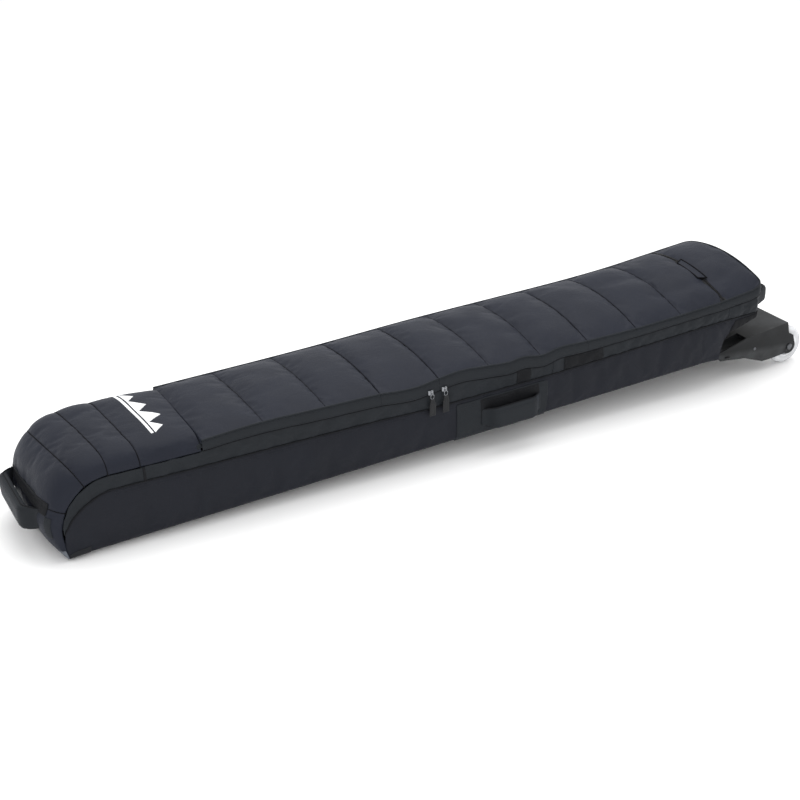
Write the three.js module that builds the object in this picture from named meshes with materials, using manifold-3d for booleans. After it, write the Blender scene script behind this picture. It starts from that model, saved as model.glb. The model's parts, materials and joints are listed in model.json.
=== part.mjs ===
// A wheeled, padded bag for a pair of skis, about 1.9 m long.
// Bag frame while modelling, in millimetres: X runs from the nose to the wheels, the front side faces -Y,
// and Z is up from the bag's own bottom panel. The whole bag is then tipped until it stands on the floor
// on its nose and its two wheels, and shifted so that the origin is under the middle of its box.
import * as THREE from 'three';
import { mergeVertices } from 'three/addons/utils/BufferGeometryUtils.js';
import Module from 'manifold-3d';

const wasm = await Module();
wasm.setup();

// ---------------------------------------------------------------- driving dimensions
const gap = 0.4;                 // clearance left between pieces that touch
const halfWidth = 143;           // outer face of the side walls
const tailFoot = 1645;           // X where the bottom panel ends
const seamTop = 176;             // Z of the lid's piped edge
const noseTop = 186;             // Z of the nose's top
const lidTop = 192;              // Z of the middle of the lid, which is crowned
const tailCrown = 0.8;           // the crown grows by this much of itself from the last fold to the tail
const lidUnder = 162;            // Z of the lid's underside
const zipLine = 150;             // Z of the zip along the sides
const noseDepth = 105;           // length of the rounded nose
const noseShoulder = 66;         // Z where the nose starts to round over
const sideWall = 7;              // padded laminate of the lower side walls
const gussetWall = 5;            // zip-carrying band above them
const noseWall = 12;             // quilted, padded nose
const floorWall = 4;             // tarpaulin bottom
const padThickness = 6;          // foam floor pad
const innerHalf = halfWidth - sideWall - gap;      // half width left between the side walls
const lidStart = 303;            // cross seam that the lid folds open at
const foldSeams = [lidStart, 707, 1243];           // quilting seams that the lid bends at
const lidEnd = 1765;             // where the lid and the zip's band end, out over the wheel chassis
const tailRun = 30;              // the tail panel leans out by this much ...
const tailRise = 75;             // ... over this height, then folds back under the overhang
const overhang = [lidEnd, 96];   // X and Z of the overhang's lower edge
const tailWall = 6;              // padded laminate of the tail panel
const tailAngle = Math.atan2(tailRun, tailRise);
const wheelRadius = 50;
const wheelWidth = 28;
const axle = { x: 1888, z: -27 };
const wheelY = 106;              // middle plane of each wheel, either side of the centre line
const boltRadius = 4;
const sliderRest = [828, 862];   // the two main zip sliders, parked nose to nose
const carryBand = { from: 890, to: 1135, thick: 1.5 };

// ---------------------------------------------------------------- materials
const finish = (color, roughness, metalness = 0) => new THREE.MeshStandardMaterial({ color, roughness, metalness });
const shell = finish(0x33363d, 0.75);
const trim = finish(0x2a2d33, 0.8);
const lining = finish(0x6b7078, 0.85);
const moulded = finish(0x2c2e31, 0.5);
const steel = finish(0xb9bcc0, 0.3, 1);
const pale = finish(0xe4e5e6, 0.35);
const mark = finish(0xe8e8ea, 0.7);

// ---------------------------------------------------------------- making solids
const bag = new THREE.Group();

function add(name, geometry, material) {
  const mesh = new THREE.Mesh(geometry, material);
  mesh.name = name;
  bag.add(mesh);
  return mesh;
}

// An outline from corner points, each [a, b].
function outline(points) {
  return new THREE.Shape(points.map(([a, b]) => new THREE.Vector2(a, b)));
}

function extrude(shape, depth, segments) {
  return new THREE.ExtrudeGeometry(shape, { depth, bevelEnabled: false, curveSegments: segments });
}

// An (x, z) outline made solid across the bag from y0 to y1.
function acrossY(shape, y0, y1, segments = 12) {
  return extrude(shape, y1 - y0, segments).rotateX(Math.PI / 2).translate(0, y1, 0);
}

// A (y, z) outline made solid along the bag from x0 to x1.
function alongX(shape, x0, x1, segments = 8) {
  const turn = new THREE.Matrix4().makeBasis(
    new THREE.Vector3(0, 1, 0), new THREE.Vector3(0, 0, 1), new THREE.Vector3(1, 0, 0));
  return extrude(shape, x1 - x0, segments).applyMatrix4(turn).translate(x0, 0, 0);
}

// An (x, y) outline made solid upwards from z0 to z1.
function upZ(shape, z0, z1, segments = 10) {
  return extrude(shape, z1 - z0, segments).translate(0, 0, z0);
}

function block(x0, x1, y0, y1, z0, z1) {
  const size = new THREE.BoxGeometry(x1 - x0, y1 - y0, z1 - z0);
  return size.translate((x0 + x1) / 2, (y0 + y1) / 2, (z0 + z1) / 2);
}

// A turned ring or pin: the profile's [radius, y] points are spun about the Y axis.
function turned(profile, segments) {
  const points = profile.map(([radius, y]) => new THREE.Vector2(radius, y));
  return new THREE.LatheGeometry(points, segments);
}

function solid(geometry) {
  const clean = geometry.clone();
  clean.deleteAttribute('normal');
  clean.deleteAttribute('uv');
  const merged = mergeVertices(clean, 1e-3);
  return new wasm.Manifold(new wasm.Mesh({
    numProp: 3,
    vertProperties: new Float32Array(merged.attributes.position.array),
    triVerts: new Uint32Array(merged.index.array),
  }));
}

function surface(manifold) {
  const mesh = manifold.getMesh();
  const geometry = new THREE.BufferGeometry();
  geometry.setAttribute('position', new THREE.BufferAttribute(mesh.vertProperties, 3));
  geometry.setIndex(new THREE.BufferAttribute(mesh.triVerts, 1));
  geometry.computeVertexNormals();
  return geometry;
}

function cut(body, ...tools) {
  return surface(tools.reduce((left, tool) => left.subtract(solid(tool)), solid(body)));
}

function join(...pieces) {
  return surface(pieces.map(solid).reduce((left, right) => left.add(right)));
}

// Each side is named, with the sign of its Y.
const sides = [['front', -1], ['back', 1]];

// A span across the wall of one side, given as distances out from the centre line.
function span(sign, inner, outer) {
  return sign < 0 ? [-outer, -inner] : [inner, outer];
}

// ---------------------------------------------------------------- bag shell
// The seam between the lower side wall and the gusset: a run over the nose, then a gentle fall to the tail.
const seam = { toe: [8, 62], pull: [45, 120], crown: [106, 133], mid: [700, 108] };
const tailKnee = [tailFoot + tailRun, tailRise];

function sideWallShape() {
  const shape = new THREE.Shape();
  shape.moveTo(4, floorWall + gap);
  shape.lineTo(tailFoot, floorWall + gap);
  shape.lineTo(...tailKnee);
  shape.lineTo(...overhang);
  shape.lineTo(lidEnd, seam.mid[1]);
  shape.lineTo(...seam.mid);
  shape.lineTo(...seam.crown);
  shape.quadraticCurveTo(...seam.pull, ...seam.toe);
  shape.lineTo(4, 56);
  return shape;
}

// The gusset fills the band between that seam and the nose's edge, then the zip line.
function gussetShape() {
  const shape = new THREE.Shape();
  const edge = { x: 95, drop: 4 };                 // the band's edge lies inside the quilted nose's profile
  shape.moveTo(seam.toe[0] - 2, seam.toe[1] + 2);
  shape.quadraticCurveTo(seam.pull[0], seam.pull[1] + gap, seam.crown[0], seam.crown[1] + gap);
  shape.lineTo(seam.mid[0], seam.mid[1] + gap);
  shape.lineTo(lidEnd, seam.mid[1] + gap);
  shape.lineTo(lidEnd, zipLine);
  shape.lineTo(lidStart, zipLine);
  shape.lineTo(lidStart - 2, lidUnder);
  shape.lineTo(edge.x, lidUnder + edge.drop);
  shape.quadraticCurveTo(14, lidUnder + edge.drop, seam.toe[0] - 3, seam.toe[1] + 8);
  return shape;
}

function noseShape() {
  const outer = { rx: noseDepth, rz: noseTop - noseShoulder };
  const inner = { rx: outer.rx - noseWall, rz: outer.rz - noseWall };
  const middle = noseDepth - 5;                    // the nose bulges 5 mm past the bottom panel
  const shape = new THREE.Shape();
  shape.moveTo(middle - outer.rx, floorWall + gap);
  shape.lineTo(middle - inner.rx, floorWall + gap);
  shape.lineTo(middle - inner.rx, noseShoulder);
  shape.absellipse(middle, noseShoulder, inner.rx, inner.rz, Math.PI, Math.PI / 2, true);
  shape.lineTo(lidStart - gap, noseTop - noseWall);
  shape.lineTo(lidStart - gap, noseTop);
  shape.lineTo(middle, noseTop);
  shape.absellipse(middle, noseShoulder, outer.rx, outer.rz, Math.PI / 2, Math.PI, false);
  return shape;
}

// The bottom panel is let in by the thickness of the carrying band that passes under it.
add('bottom_panel', cut(
  block(0, tailFoot - gap, -halfWidth, halfWidth, 0, floorWall),
  block(carryBand.from - gap, carryBand.to + gap, -halfWidth - 1, halfWidth + 1, -1, carryBand.thick + gap)), trim);
add('nose_panel', acrossY(noseShape(), -innerHalf, innerHalf, 10), shell);
for (const [side, sign] of sides) {
  const wall = span(sign, halfWidth - sideWall, halfWidth);
  const band = span(sign, halfWidth - gussetWall, halfWidth);
  const tape = span(sign, halfWidth - gussetWall + 1, halfWidth - 1);
  add(`side_panel_${side}`, acrossY(sideWallShape(), ...wall, 8), shell);
  add(`gusset_${side}`, acrossY(gussetShape(), ...band, 8), trim);
  add(`zip_tape_${side}`, block(lidStart + 3, lidEnd - 2, ...tape, zipLine + gap, zipLine + 7), trim);
}

// The tail: a panel that leans out and then folds under the overhang, and a band that carries the zip round the end.
function onTail(geometry) {
  return geometry.rotateY(tailAngle).translate(tailFoot, 0, 0);
}
const screwPlaces = [[-95, 22], [95, 22], [-95, 56], [95, 56]];    // across, then up the tail panel
const screwHole = (y, up, radius) => onTail(
  turned([[0, -20], [radius, -20], [radius, 12], [0, 12]], 16).rotateZ(-Math.PI / 2).translate(0, y, up));
const screwHoles = () => screwPlaces.map(([y, up]) => screwHole(y, up, 3.4));

function tailPanelShape() {
  const foot = 6;                                  // clear of the bottom panel
  const out = tailFoot + foot * Math.tan(tailAngle);
  const inner = [tailKnee[0] - tailWall * 0.7, tailKnee[1] + tailWall * 0.85];
  return outline([
    [out, foot], tailKnee, overhang, [overhang[0], overhang[1] + tailWall],
    inner, [out - tailWall / Math.cos(tailAngle), foot]]);
}
add('tail_panel', cut(acrossY(tailPanelShape(), -innerHalf, innerHalf), ...screwHoles()), shell);
const plateFrom = -tailWall - gap - 3;
const tailPlate = onTail(block(plateFrom, -tailWall - gap, -112, 112, 12, 72));
add('tail_plate', cut(tailPlate, ...screwHoles()), moulded);
add('gusset_tail', block(lidEnd - gussetWall, lidEnd, -innerHalf, innerHalf, overhang[1] + tailWall + gap, zipLine),
  trim);
add('zip_tape_tail', block(lidEnd - gussetWall + 1, lidEnd - 1, 2 - innerHalf, innerHalf - 2,
  zipLine + gap, zipLine + 7), trim);

// Inside: a foam pad on the floor and two straps that hold the skis down, each with a side-release buckle.
add('floor_pad', block(12, tailFoot - 12, -innerHalf + 2, innerHalf - 2, floorWall + gap, floorWall + padThickness),
  lining);
const padTop = floorWall + padThickness;
[450, 1250].forEach((x, index) => {
  const strapTop = padTop + gap + 1.6;
  const buckle = strapTop + gap;
  const across = innerHalf - 4;
  add(`ski_strap_${index + 1}`, block(x - 19, x + 19, -across, across, padTop + gap, strapTop), trim);
  const clip = outline([[-24, 0], [24, 0], [24, 26], [16, 34], [-16, 34], [-24, 26]]);
  const prongs = outline([[-23, -1], [-23, -22], [-14, -30], [14, -30], [23, -22], [23, -1]]);
  add(`buckle_socket_${index + 1}`, upZ(clip, buckle, buckle + 10).translate(x, 0, 0), moulded);
  add(`buckle_clip_${index + 1}`, upZ(prongs, buckle, buckle + 10).translate(x, -gap, 0), moulded);
});

// A broad webbing band wraps the middle of the bag from seam to seam, underneath, and carries the side handles.
function carryBandShape() {
  const inner = halfWidth + gap;
  const outer = inner + carryBand.thick;
  const top = seam.mid[1] - 6;
  return outline([
    [-outer, top], [-outer, 0], [outer, 0], [outer, top],
    [inner, top], [inner, carryBand.thick], [-inner, carryBand.thick], [-inner, top]]);
}
add('carry_band', alongX(carryBandShape(), carryBand.from, carryBand.to), trim);

// ---------------------------------------------------------------- quilted lid, in three leaves
function crownRise(x) {
  const tailward = (x - foldSeams[2]) / (lidEnd - foldSeams[2]);
  return 1 + tailCrown * Math.max(0, tailward);
}

function lidSolid(from, to) {
  const flat = 80;                                 // half width of the nearly flat middle
  const shape = new THREE.Shape();
  shape.moveTo(-halfWidth, lidUnder);
  shape.lineTo(halfWidth, lidUnder);
  shape.lineTo(halfWidth, seamTop - 4);
  shape.quadraticCurveTo(halfWidth - 6, lidTop - 2, flat, lidTop);
  shape.lineTo(-flat, lidTop);
  shape.quadraticCurveTo(6 - halfWidth, lidTop - 2, -halfWidth, seamTop - 4);
  const leaf = alongX(shape, from, to, 4);
  const place = leaf.attributes.position;
  for (let i = 0; i < place.count; i += 1) {
    const above = place.getZ(i) - seamTop;
    if (above > 0) place.setZ(i, seamTop + above * crownRise(place.getX(i)));
  }
  return leaf;
}

const pocket = { from: 1640, to: 1753, half: 120, floor: 170, cover: 182, mouth: 1632 };
const pocketTop = seamTop + (lidTop - seamTop) * crownRise(pocket.from);
const overTop = pocketTop + 10;                    // a height that clears the crown, for cutting tools
const leafEnds = [...foldSeams.slice(1), lidEnd];
foldSeams.forEach((start, index) => {
  const [from, to] = [start + gap, leafEnds[index] - gap];
  const leaf = lidSolid(from, to);
  if (index < 2) {
    add(`lid_panel_${index + 1}`, leaf, shell);
  } else {
    // The last leaf holds a flat pocket: a tray, with a mouth along the cross zip.
    const tray = block(pocket.from, pocket.to, -pocket.half, pocket.half, pocket.floor, overTop);
    const mouth = block(pocket.mouth, pocket.from + 1, gap - pocket.half, pocket.half - gap,
      pocket.floor, overTop);
    add(`lid_panel_${index + 1}`, cut(leaf, tray, mouth), shell);
  }
  for (const [side, sign] of sides) {
    const flap = span(sign, halfWidth + gap, halfWidth + gap + 3);
    add(`storm_flap_${side}_${index + 1}`, block(from, to, ...flap, zipLine + 2, seamTop - 6), trim);
  }
});
const flapOuter = halfWidth + gap + 3;
add('storm_flap_tail', block(lidEnd + gap, lidEnd + gap + 3, -flapOuter, flapOuter, zipLine + 2, seamTop - 6), trim);

// The pocket: its cover, the zip along its mouth, the slider, and the little hood that the slider parks under.
function underCrown(x0, x1, half, z0) {
  const plate = solid(block(x0, x1, -half, half, z0, overTop));
  return surface(plate.intersect(solid(lidSolid(x0 - 1, x1 + 1))));
}
add('pocket_cover', underCrown(pocket.from + gap, pocket.to - gap, pocket.half - gap, pocket.cover), shell);
add('pocket_zip_tape', underCrown(pocket.mouth + gap, pocket.from, pocket.half - 2, pocket.cover + 1), trim);
add('pocket_slider', block(pocket.mouth, pocket.from, -26, -8, pocketTop + gap, pocketTop + 3.5), steel);
const hood = outline([[-10, -58], [8, -68], [8, 32], [-10, 22]]);
add('pocket_zip_hood', upZ(hood, pocketTop + 3.5 + gap, pocketTop + 5).translate(pocket.from, 0, 0), trim);

// ---------------------------------------------------------------- main zip sliders and their pulls
const sliderTop = zipLine + 1.5;
const pullAxis = { y: -(halfWidth + 8.5), z: zipLine - 9 };
sliderRest.forEach((x, index) => {
  const plan = outline([[x - 7, -gap], [x + 7, -gap], [x + 7, -3], [x + 4, -6], [x - 4, -6], [x - 7, -3]]);
  const slider = upZ(plan, pullAxis.z, sliderTop).translate(0, -halfWidth, 0);
  add(`zip_slider_${index + 1}`, slider, steel);
  const pull = block(x - 8, x + 8, pullAxis.y - 1.5, pullAxis.y + 1.5, pullAxis.z - 52, pullAxis.z + 1.5);
  add(`zip_pull_${index + 1}`, pull, trim);
});

// ---------------------------------------------------------------- grab handles
// A padded bar that bows out from the wall. Its ends narrow to the line it is sewn along, which it swings about.
// s runs along the handle, d out from the wall and h up the wall.
function handleSolid(length, height, rise, thick) {
  const half = length / 2;
  const foot = 14;
  const plan = new THREE.Shape();
  plan.moveTo(-half, gap);
  plan.lineTo(-half + foot, gap);
  plan.bezierCurveTo(-half + 2 * foot, gap, -half + 2 * foot, rise, -half + 3.2 * foot, rise);
  plan.lineTo(half - 3.2 * foot, rise);
  plan.bezierCurveTo(half - 2 * foot, rise, half - 2 * foot, gap, half - foot, gap);
  plan.lineTo(half, gap);
  plan.bezierCurveTo(half, rise + thick, half - foot, rise + thick, half - 2.2 * foot, rise + thick);
  plan.lineTo(2.2 * foot - half, rise + thick);
  plan.bezierCurveTo(foot - half, rise + thick, -half, rise + thick, -half, gap);
  const bar = solid(upZ(plan, -height / 2, height / 2, 5));
  const full = rise * 0.9;                         // where the taper reaches the bar's whole height
  const wedge = outline([
    [0, 0], [full, -height / 2], [rise + thick + 5, -height / 2],
    [rise + thick + 5, height / 2], [full, height / 2]]);
  const limit = solid(alongX(wedge, -half - 1, half + 1));
  return surface(bar.intersect(limit));
}

const sideHandle = { x: 1032, z: 54, length: 160, height: 50, rise: 17, thick: 9 };
for (const [side, sign] of sides) {
  const { x, z, length, height, rise, thick } = sideHandle;
  const geometry = handleSolid(length, height, rise, thick).rotateZ(sign < 0 ? Math.PI : 0);
  add(`side_handle_${side}`, geometry.translate(x, sign * (halfWidth + gap + carryBand.thick), z), trim);
}
const noseHandle = { z: 86, length: 200, height: 44, rise: 36, thick: 10 };
add('nose_handle', handleSolid(noseHandle.length, noseHandle.height, noseHandle.rise, noseHandle.thick)
  .rotateZ(Math.PI / 2).translate(-5, 0, noseHandle.z), trim);
const tailHandle = { z: 124, length: 246, height: 46, rise: 46, thick: 10 };
add('tail_handle', handleSolid(tailHandle.length, tailHandle.height, tailHandle.rise, tailHandle.thick)
  .rotateZ(-Math.PI / 2).translate(lidEnd, 0, tailHandle.z), trim);

// ---------------------------------------------------------------- wheel chassis
const outerPlate = [123, 127];
const innerPlate = [85, 89];

// The side of the chassis: a blade along the tail that ends in a rounded lobe round the axle.
function cheekShape() {
  const lobe = 20;
  const shape = new THREE.Shape();
  shape.moveTo(1650, 3);
  shape.lineTo(1662, -10);
  shape.lineTo(1740, -22);
  shape.lineTo(1800, -46);
  shape.lineTo(1826, -47);
  shape.lineTo(axle.x - 12, axle.z - 16);
  shape.absarc(axle.x, axle.z, lobe, -2.2, 0.6, false);
  shape.lineTo(1900, 2);
  shape.lineTo(1884, 12);
  shape.lineTo(1878, 42);
  shape.lineTo(1745, 31);
  shape.lineTo(1653, 12);
  return shape;
}

const boltHole = (y0, y1) => turned([[0, y0], [boltRadius + 0.3, y0], [boltRadius + 0.3, y1], [0, y1]], 16)
  .translate(axle.x, 0, axle.z);

function chassis() {
  const roof = outline([[1745, 25], [1878, 36], [1878, 42], [1745, 31]]);
  const beam = outline([
    [1652, 8], [1745, 31], [1752, 31], [1752, -22], [1747, -22], [1747, 25], [1650, 2]]);
  const pieces = [
    onTail(block(gap, 4.4, -127, 127, 4, 72)),
    acrossY(beam, -86, 86),
    acrossY(roof, -outerPlate[1], outerPlate[1]),
  ];
  for (const [, sign] of sides) {
    pieces.push(acrossY(cheekShape(), ...span(sign, ...outerPlate), 6));
    pieces.push(acrossY(cheekShape(), ...span(sign, ...innerPlate), 6));
  }
  return cut(join(...pieces), ...screwHoles(), boltHole(-140, 140));
}
add('wheel_chassis', chassis(), moulded);

screwPlaces.forEach(([y, up], index) => {
  const screw = turned([[0, -13], [3, -13], [3, 4.8], [6, 4.8], [6, 6.4], [4, 8], [0, 8]], 16);
  add(`chassis_screw_${index + 1}`, onTail(screw.rotateZ(-Math.PI / 2).translate(0, y, up)), steel);
});

// ---------------------------------------------------------------- wheels, bearings and axles
// Made with Y as the spin axis, about the wheel's own middle.
const core = 31;                 // radius where the soft tyre meets the hub
const bearing = { outer: 11, inner: boltRadius + 0.3, width: 7, from: 5 };

function tyreProfile() {
  const half = wheelWidth / 2;
  const shoulder = wheelRadius - 12;
  return [
    [core, -half + 2], [shoulder, -half], [wheelRadius - 4, -half + 5], [wheelRadius, -4],
    [wheelRadius, 4], [wheelRadius - 4, half - 5], [shoulder, half], [core, half - 2], [core, -half + 2]];
}

function hubProfile() {
  const bore = bearing.outer + gap;
  const rim = core - gap;
  return [
    [bore, -12], [15, -12], [17, -5], [rim - 4, -5], [rim - 2, -11], [rim, -11],
    [rim, 11], [rim - 2, 11], [rim - 4, 5], [17, 5], [15, 12], [bore, 12], [bore, -12]];
}

function bearingProfile(sign) {
  const [from, to] = sign < 0 ? [-bearing.from - bearing.width, -bearing.from]
    : [bearing.from, bearing.from + bearing.width];
  return [
    [bearing.inner, from], [bearing.outer, from], [bearing.outer, to], [bearing.inner, to],
    [bearing.inner, from]];
}

for (const [side, sign] of sides) {
  const place = (geometry) => geometry.translate(axle.x, sign * wheelY, axle.z);
  add(`wheel_tyre_${side}`, place(turned(tyreProfile(), 48)), pale);
  add(`wheel_hub_${side}`, place(turned(hubProfile(), 32)), pale);
  add(`bearing_outer_${side}`, place(turned(bearingProfile(sign), 20)), steel);
  add(`bearing_inner_${side}`, place(turned(bearingProfile(-sign), 20)), steel);
  const headUnder = outerPlate[1] + gap - wheelY;
  const tip = innerPlate[0] - 8 - wheelY;
  const bolt = turned([
    [0, tip], [boltRadius, tip], [boltRadius, headUnder], [8, headUnder], [8, headUnder + 2.5],
    [6, headUnder + 4], [0, headUnder + 4]], 16);
  const nut = extrude(hexagon(7), 5, 8).rotateX(Math.PI / 2).translate(0, innerPlate[0] - gap - wheelY, 0);
  const facing = (geometry) => place(sign < 0 ? geometry.rotateZ(Math.PI) : geometry);
  add(`axle_bolt_${side}`, facing(bolt), steel);
  add(`axle_nut_${side}`, facing(nut), steel);
}

function hexagon(radius) {
  const shape = outline([0, 1, 2, 3, 4, 5].map((n) => [
    radius * Math.cos(n * Math.PI / 3), radius * Math.sin(n * Math.PI / 3)]));
  shape.holes.push(new THREE.Path().absarc(0, 0, boltRadius + 0.3, 0, 2 * Math.PI, true));
  return shape;
}

// ---------------------------------------------------------------- a plain sewn patch on the nose
add('nose_patch', block(212, 268, -92, 108, noseTop + gap, noseTop + 1.2), mark);

// ---------------------------------------------------------------- standing the bag up
const reach = Math.hypot(axle.x, axle.z);
const incline = Math.asin(wheelRadius / reach) - Math.atan2(axle.z, axle.x);
bag.rotation.y = -incline;
bag.updateMatrixWorld(true);
const box = new THREE.Box3().setFromObject(bag, true);
bag.position.set(-(box.min.x + box.max.x) / 2, -(box.min.y + box.max.y) / 2, -box.min.z);
bag.updateMatrixWorld(true);

export default bag;
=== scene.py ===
"""A long wheeled ski bag with a quilted lid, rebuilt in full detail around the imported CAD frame.

Shapes are worked out in the bag's own axes, in metres: X from the nose to the wheels, the front side at
-Y, and Z up from the bottom panel. BAG turns them into the frame's axes, where the bag leans on its nose
and wheels.
"""

import json
import math

import bmesh
import bpy
import numpy as np
from mathutils import Matrix, Vector, noise

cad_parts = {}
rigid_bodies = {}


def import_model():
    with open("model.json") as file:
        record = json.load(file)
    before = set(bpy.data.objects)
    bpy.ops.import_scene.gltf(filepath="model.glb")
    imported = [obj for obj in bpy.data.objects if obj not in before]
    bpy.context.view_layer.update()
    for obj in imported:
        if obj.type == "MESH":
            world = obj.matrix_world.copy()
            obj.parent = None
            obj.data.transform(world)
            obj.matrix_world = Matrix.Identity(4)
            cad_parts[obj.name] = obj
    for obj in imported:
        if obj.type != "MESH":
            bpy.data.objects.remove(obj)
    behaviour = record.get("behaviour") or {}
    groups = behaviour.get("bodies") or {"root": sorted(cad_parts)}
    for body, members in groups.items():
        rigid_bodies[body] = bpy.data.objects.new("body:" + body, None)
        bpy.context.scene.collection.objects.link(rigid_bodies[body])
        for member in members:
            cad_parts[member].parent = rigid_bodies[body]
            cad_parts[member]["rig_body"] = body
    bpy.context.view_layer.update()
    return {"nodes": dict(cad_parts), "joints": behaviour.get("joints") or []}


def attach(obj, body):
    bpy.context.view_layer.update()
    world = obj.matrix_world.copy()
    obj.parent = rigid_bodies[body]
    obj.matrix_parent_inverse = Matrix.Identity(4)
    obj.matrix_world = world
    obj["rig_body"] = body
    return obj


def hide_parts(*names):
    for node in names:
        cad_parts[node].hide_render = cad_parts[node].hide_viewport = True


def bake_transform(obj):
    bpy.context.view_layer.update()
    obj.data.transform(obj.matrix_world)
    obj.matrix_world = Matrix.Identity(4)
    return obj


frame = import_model()

# ------------------------------------------------------------------ the bag's own axes, from the frame
JOINTS = {joint["name"]: joint for joint in frame["joints"]}
LID_START = 0.303                    # cross seam that the lid opens at
FOLD_Z = 0.192                       # height of the lid's fold lines
lengthwise = JOINTS["zip_slide_2"]["axis"]
LEAN = Matrix.Rotation(-math.atan2(lengthwise[2], lengthwise[0]), 4, "Y")
first_fold = Vector(JOINTS["lid_fold_1"]["pos_m"])
BAG = Matrix.Translation(first_fold - LEAN @ Vector((LID_START, 0, FOLD_Z))) @ LEAN
UNBAG = BAG.inverted()


def bag_box(node):
    """Lowest and highest corner of a CAD node, in the bag's axes."""
    corners = np.array([UNBAG @ v.co for v in frame["nodes"][node].data.vertices])
    return corners.min(0), corners.max(0)


def bag_point(joint):
    return np.array(UNBAG @ Vector(JOINTS[joint]["pos_m"]))


HALF = -bag_box("side_panel_front")[0][1]                  # outer face of the side walls
WALL = HALF - 0.002                                        # where the cloth of the walls lies
TAIL_FOOT = bag_box("bottom_panel")[1][0]
LID_END = bag_box("lid_panel_3")[1][0]
FOLDS = [bag_point(f"lid_fold_{n}")[0] for n in (1, 2, 3)]
SIDES = (("front", -1), ("back", 1))


# ------------------------------------------------------------------ camera, lights and floor
def camera():
    """The photo's camera, solved from the photo's perspective."""
    focal_px, image_px = 1362.7, 800
    azimuth, elevation = math.radians(-28.847), math.radians(26.572)
    right = Vector((math.cos(azimuth), math.sin(azimuth), 0))
    back = Vector((math.sin(azimuth) * math.cos(elevation), -math.cos(azimuth) * math.cos(elevation),
                   math.sin(elevation)))
    turn = Matrix((right, back.cross(right), back)).transposed().to_4x4()
    data = bpy.data.cameras.new("camera")
    data.sensor_width = 36
    data.lens = focal_px * data.sensor_width / image_px
    seer = bpy.data.objects.new("camera", data)
    place = (-1.45173, -2.4254, 1.482)
    seer.matrix_world = Matrix.Translation(place) @ turn
    bpy.context.scene.collection.objects.link(seer)
    bpy.context.scene.camera = seer


def area_light(name, place, aim, size, power):
    data = bpy.data.lights.new(name, "AREA")
    data.shape = "RECTANGLE"
    data.size, data.size_y = size
    data.energy = power
    lamp = bpy.data.objects.new(name, data)
    lamp.location = place
    lamp.rotation_euler = (Vector(aim) - Vector(place)).to_track_quat("-Z", "Y").to_euler()
    bpy.context.scene.collection.objects.link(lamp)


def studio():
    """Soft light from above and in front, and a plain white floor."""
    scene = bpy.context.scene
    scene.view_settings.view_transform = "Standard"
    world = bpy.data.worlds.new("studio")
    world.use_nodes = True
    backdrop = world.node_tree.nodes["Background"]
    backdrop.inputs["Color"].default_value = (1.0, 1.0, 1.0, 1)
    backdrop.inputs["Strength"].default_value = 1.0
    scene.world = world
    area_light("top_light", (0.1, 0.5, 2.6), (0, 0, 0.1), (3.4, 2.2), 50)
    area_light("front_light", (-1.2, -2.8, 1.6), (0, 0, 0.1), (1.6, 1.6), 12)
    mesh = bpy.data.meshes.new("floor")
    reach = 12
    mesh.from_pydata([(-reach, -reach, 0), (reach, -reach, 0), (reach, reach, 0), (-reach, reach, 0)], [],
                     [(0, 1, 2, 3)])
    floor = bpy.data.objects.new("floor", mesh)
    scene.collection.objects.link(floor)
    paint = bpy.data.materials.new("floor")
    paint.use_nodes = True
    shader = paint.node_tree.nodes["Principled BSDF"]
    shader.inputs["Base Color"].default_value = (1, 1, 1, 1)
    shader.inputs["Roughness"].default_value = 0.9
    mesh.materials.append(paint)


# ------------------------------------------------------------------ materials
def nodes_of(name):
    """A new material, its nodes, its shader, and the object's own coordinates for its textures."""
    paint = bpy.data.materials.new(name)
    paint.use_nodes = True
    tree = paint.node_tree
    coords = tree.nodes.new("ShaderNodeTexCoord").outputs["Object"]
    return paint, tree, tree.nodes["Principled BSDF"], coords


def fill_in(node, **values):
    """Sets a node's inputs, with _ for a space in their names."""
    for name, value in values.items():
        node.inputs[name.replace("_", " ")].default_value = value


def texture(tree, kind, coords, scale, **settings):
    node = tree.nodes.new(kind)
    tree.links.new(coords, node.inputs["Vector"])
    node.inputs["Scale"].default_value = scale
    for key, value in settings.items():
        if key in node.inputs:
            node.inputs[key].default_value = value
        else:
            setattr(node, key, value)
    return node.outputs["Fac"]


def ribs(tree, coords, pitch, direction, wobble):
    """Parallel ribs across a direction, one to each pitch."""
    half_turn = 6.283 * 0.5
    return texture(tree, "ShaderNodeTexWave", coords, 1 / (pitch * half_turn), bands_direction=direction,
                   Distortion=wobble)


def math_node(tree, operation, a, b):
    node = tree.nodes.new("ShaderNodeMath")
    node.operation = operation
    for socket, value in zip(node.inputs, (a, b)):
        if isinstance(value, (int, float)):
            socket.default_value = value
        else:
            tree.links.new(value, socket)
    return node.outputs[0]


def ramp(tree, source, stops):
    node = tree.nodes.new("ShaderNodeValToRGB")
    tree.links.new(source, node.inputs["Fac"])
    elements = node.color_ramp.elements
    while len(elements) < len(stops):
        elements.new(0.5)
    for element, (place, colour) in zip(elements, stops):
        element.position = place
        element.color = (*colour, 1)
    return node.outputs["Color"]


def bump(tree, shader, source, strength, distance, under=None):
    """Raises the surface where the source is high, on top of another bump if there is one under it."""
    node = tree.nodes.new("ShaderNodeBump")
    fill_in(node, Strength=strength, Distance=distance)
    tree.links.new(source, node.inputs["Height"])
    if under:
        tree.links.new(under, node.inputs["Normal"])
    tree.links.new(node.outputs["Normal"], shader.inputs["Normal"])
    return node.outputs["Normal"]


def varied(tree, shader, source, spread, rough):
    """Roughness that changes by the spread with the source, from `rough` up."""
    tree.links.new(math_node(tree, "ADD", math_node(tree, "MULTIPLY", source, spread), rough),
                   shader.inputs["Roughness"])


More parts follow.
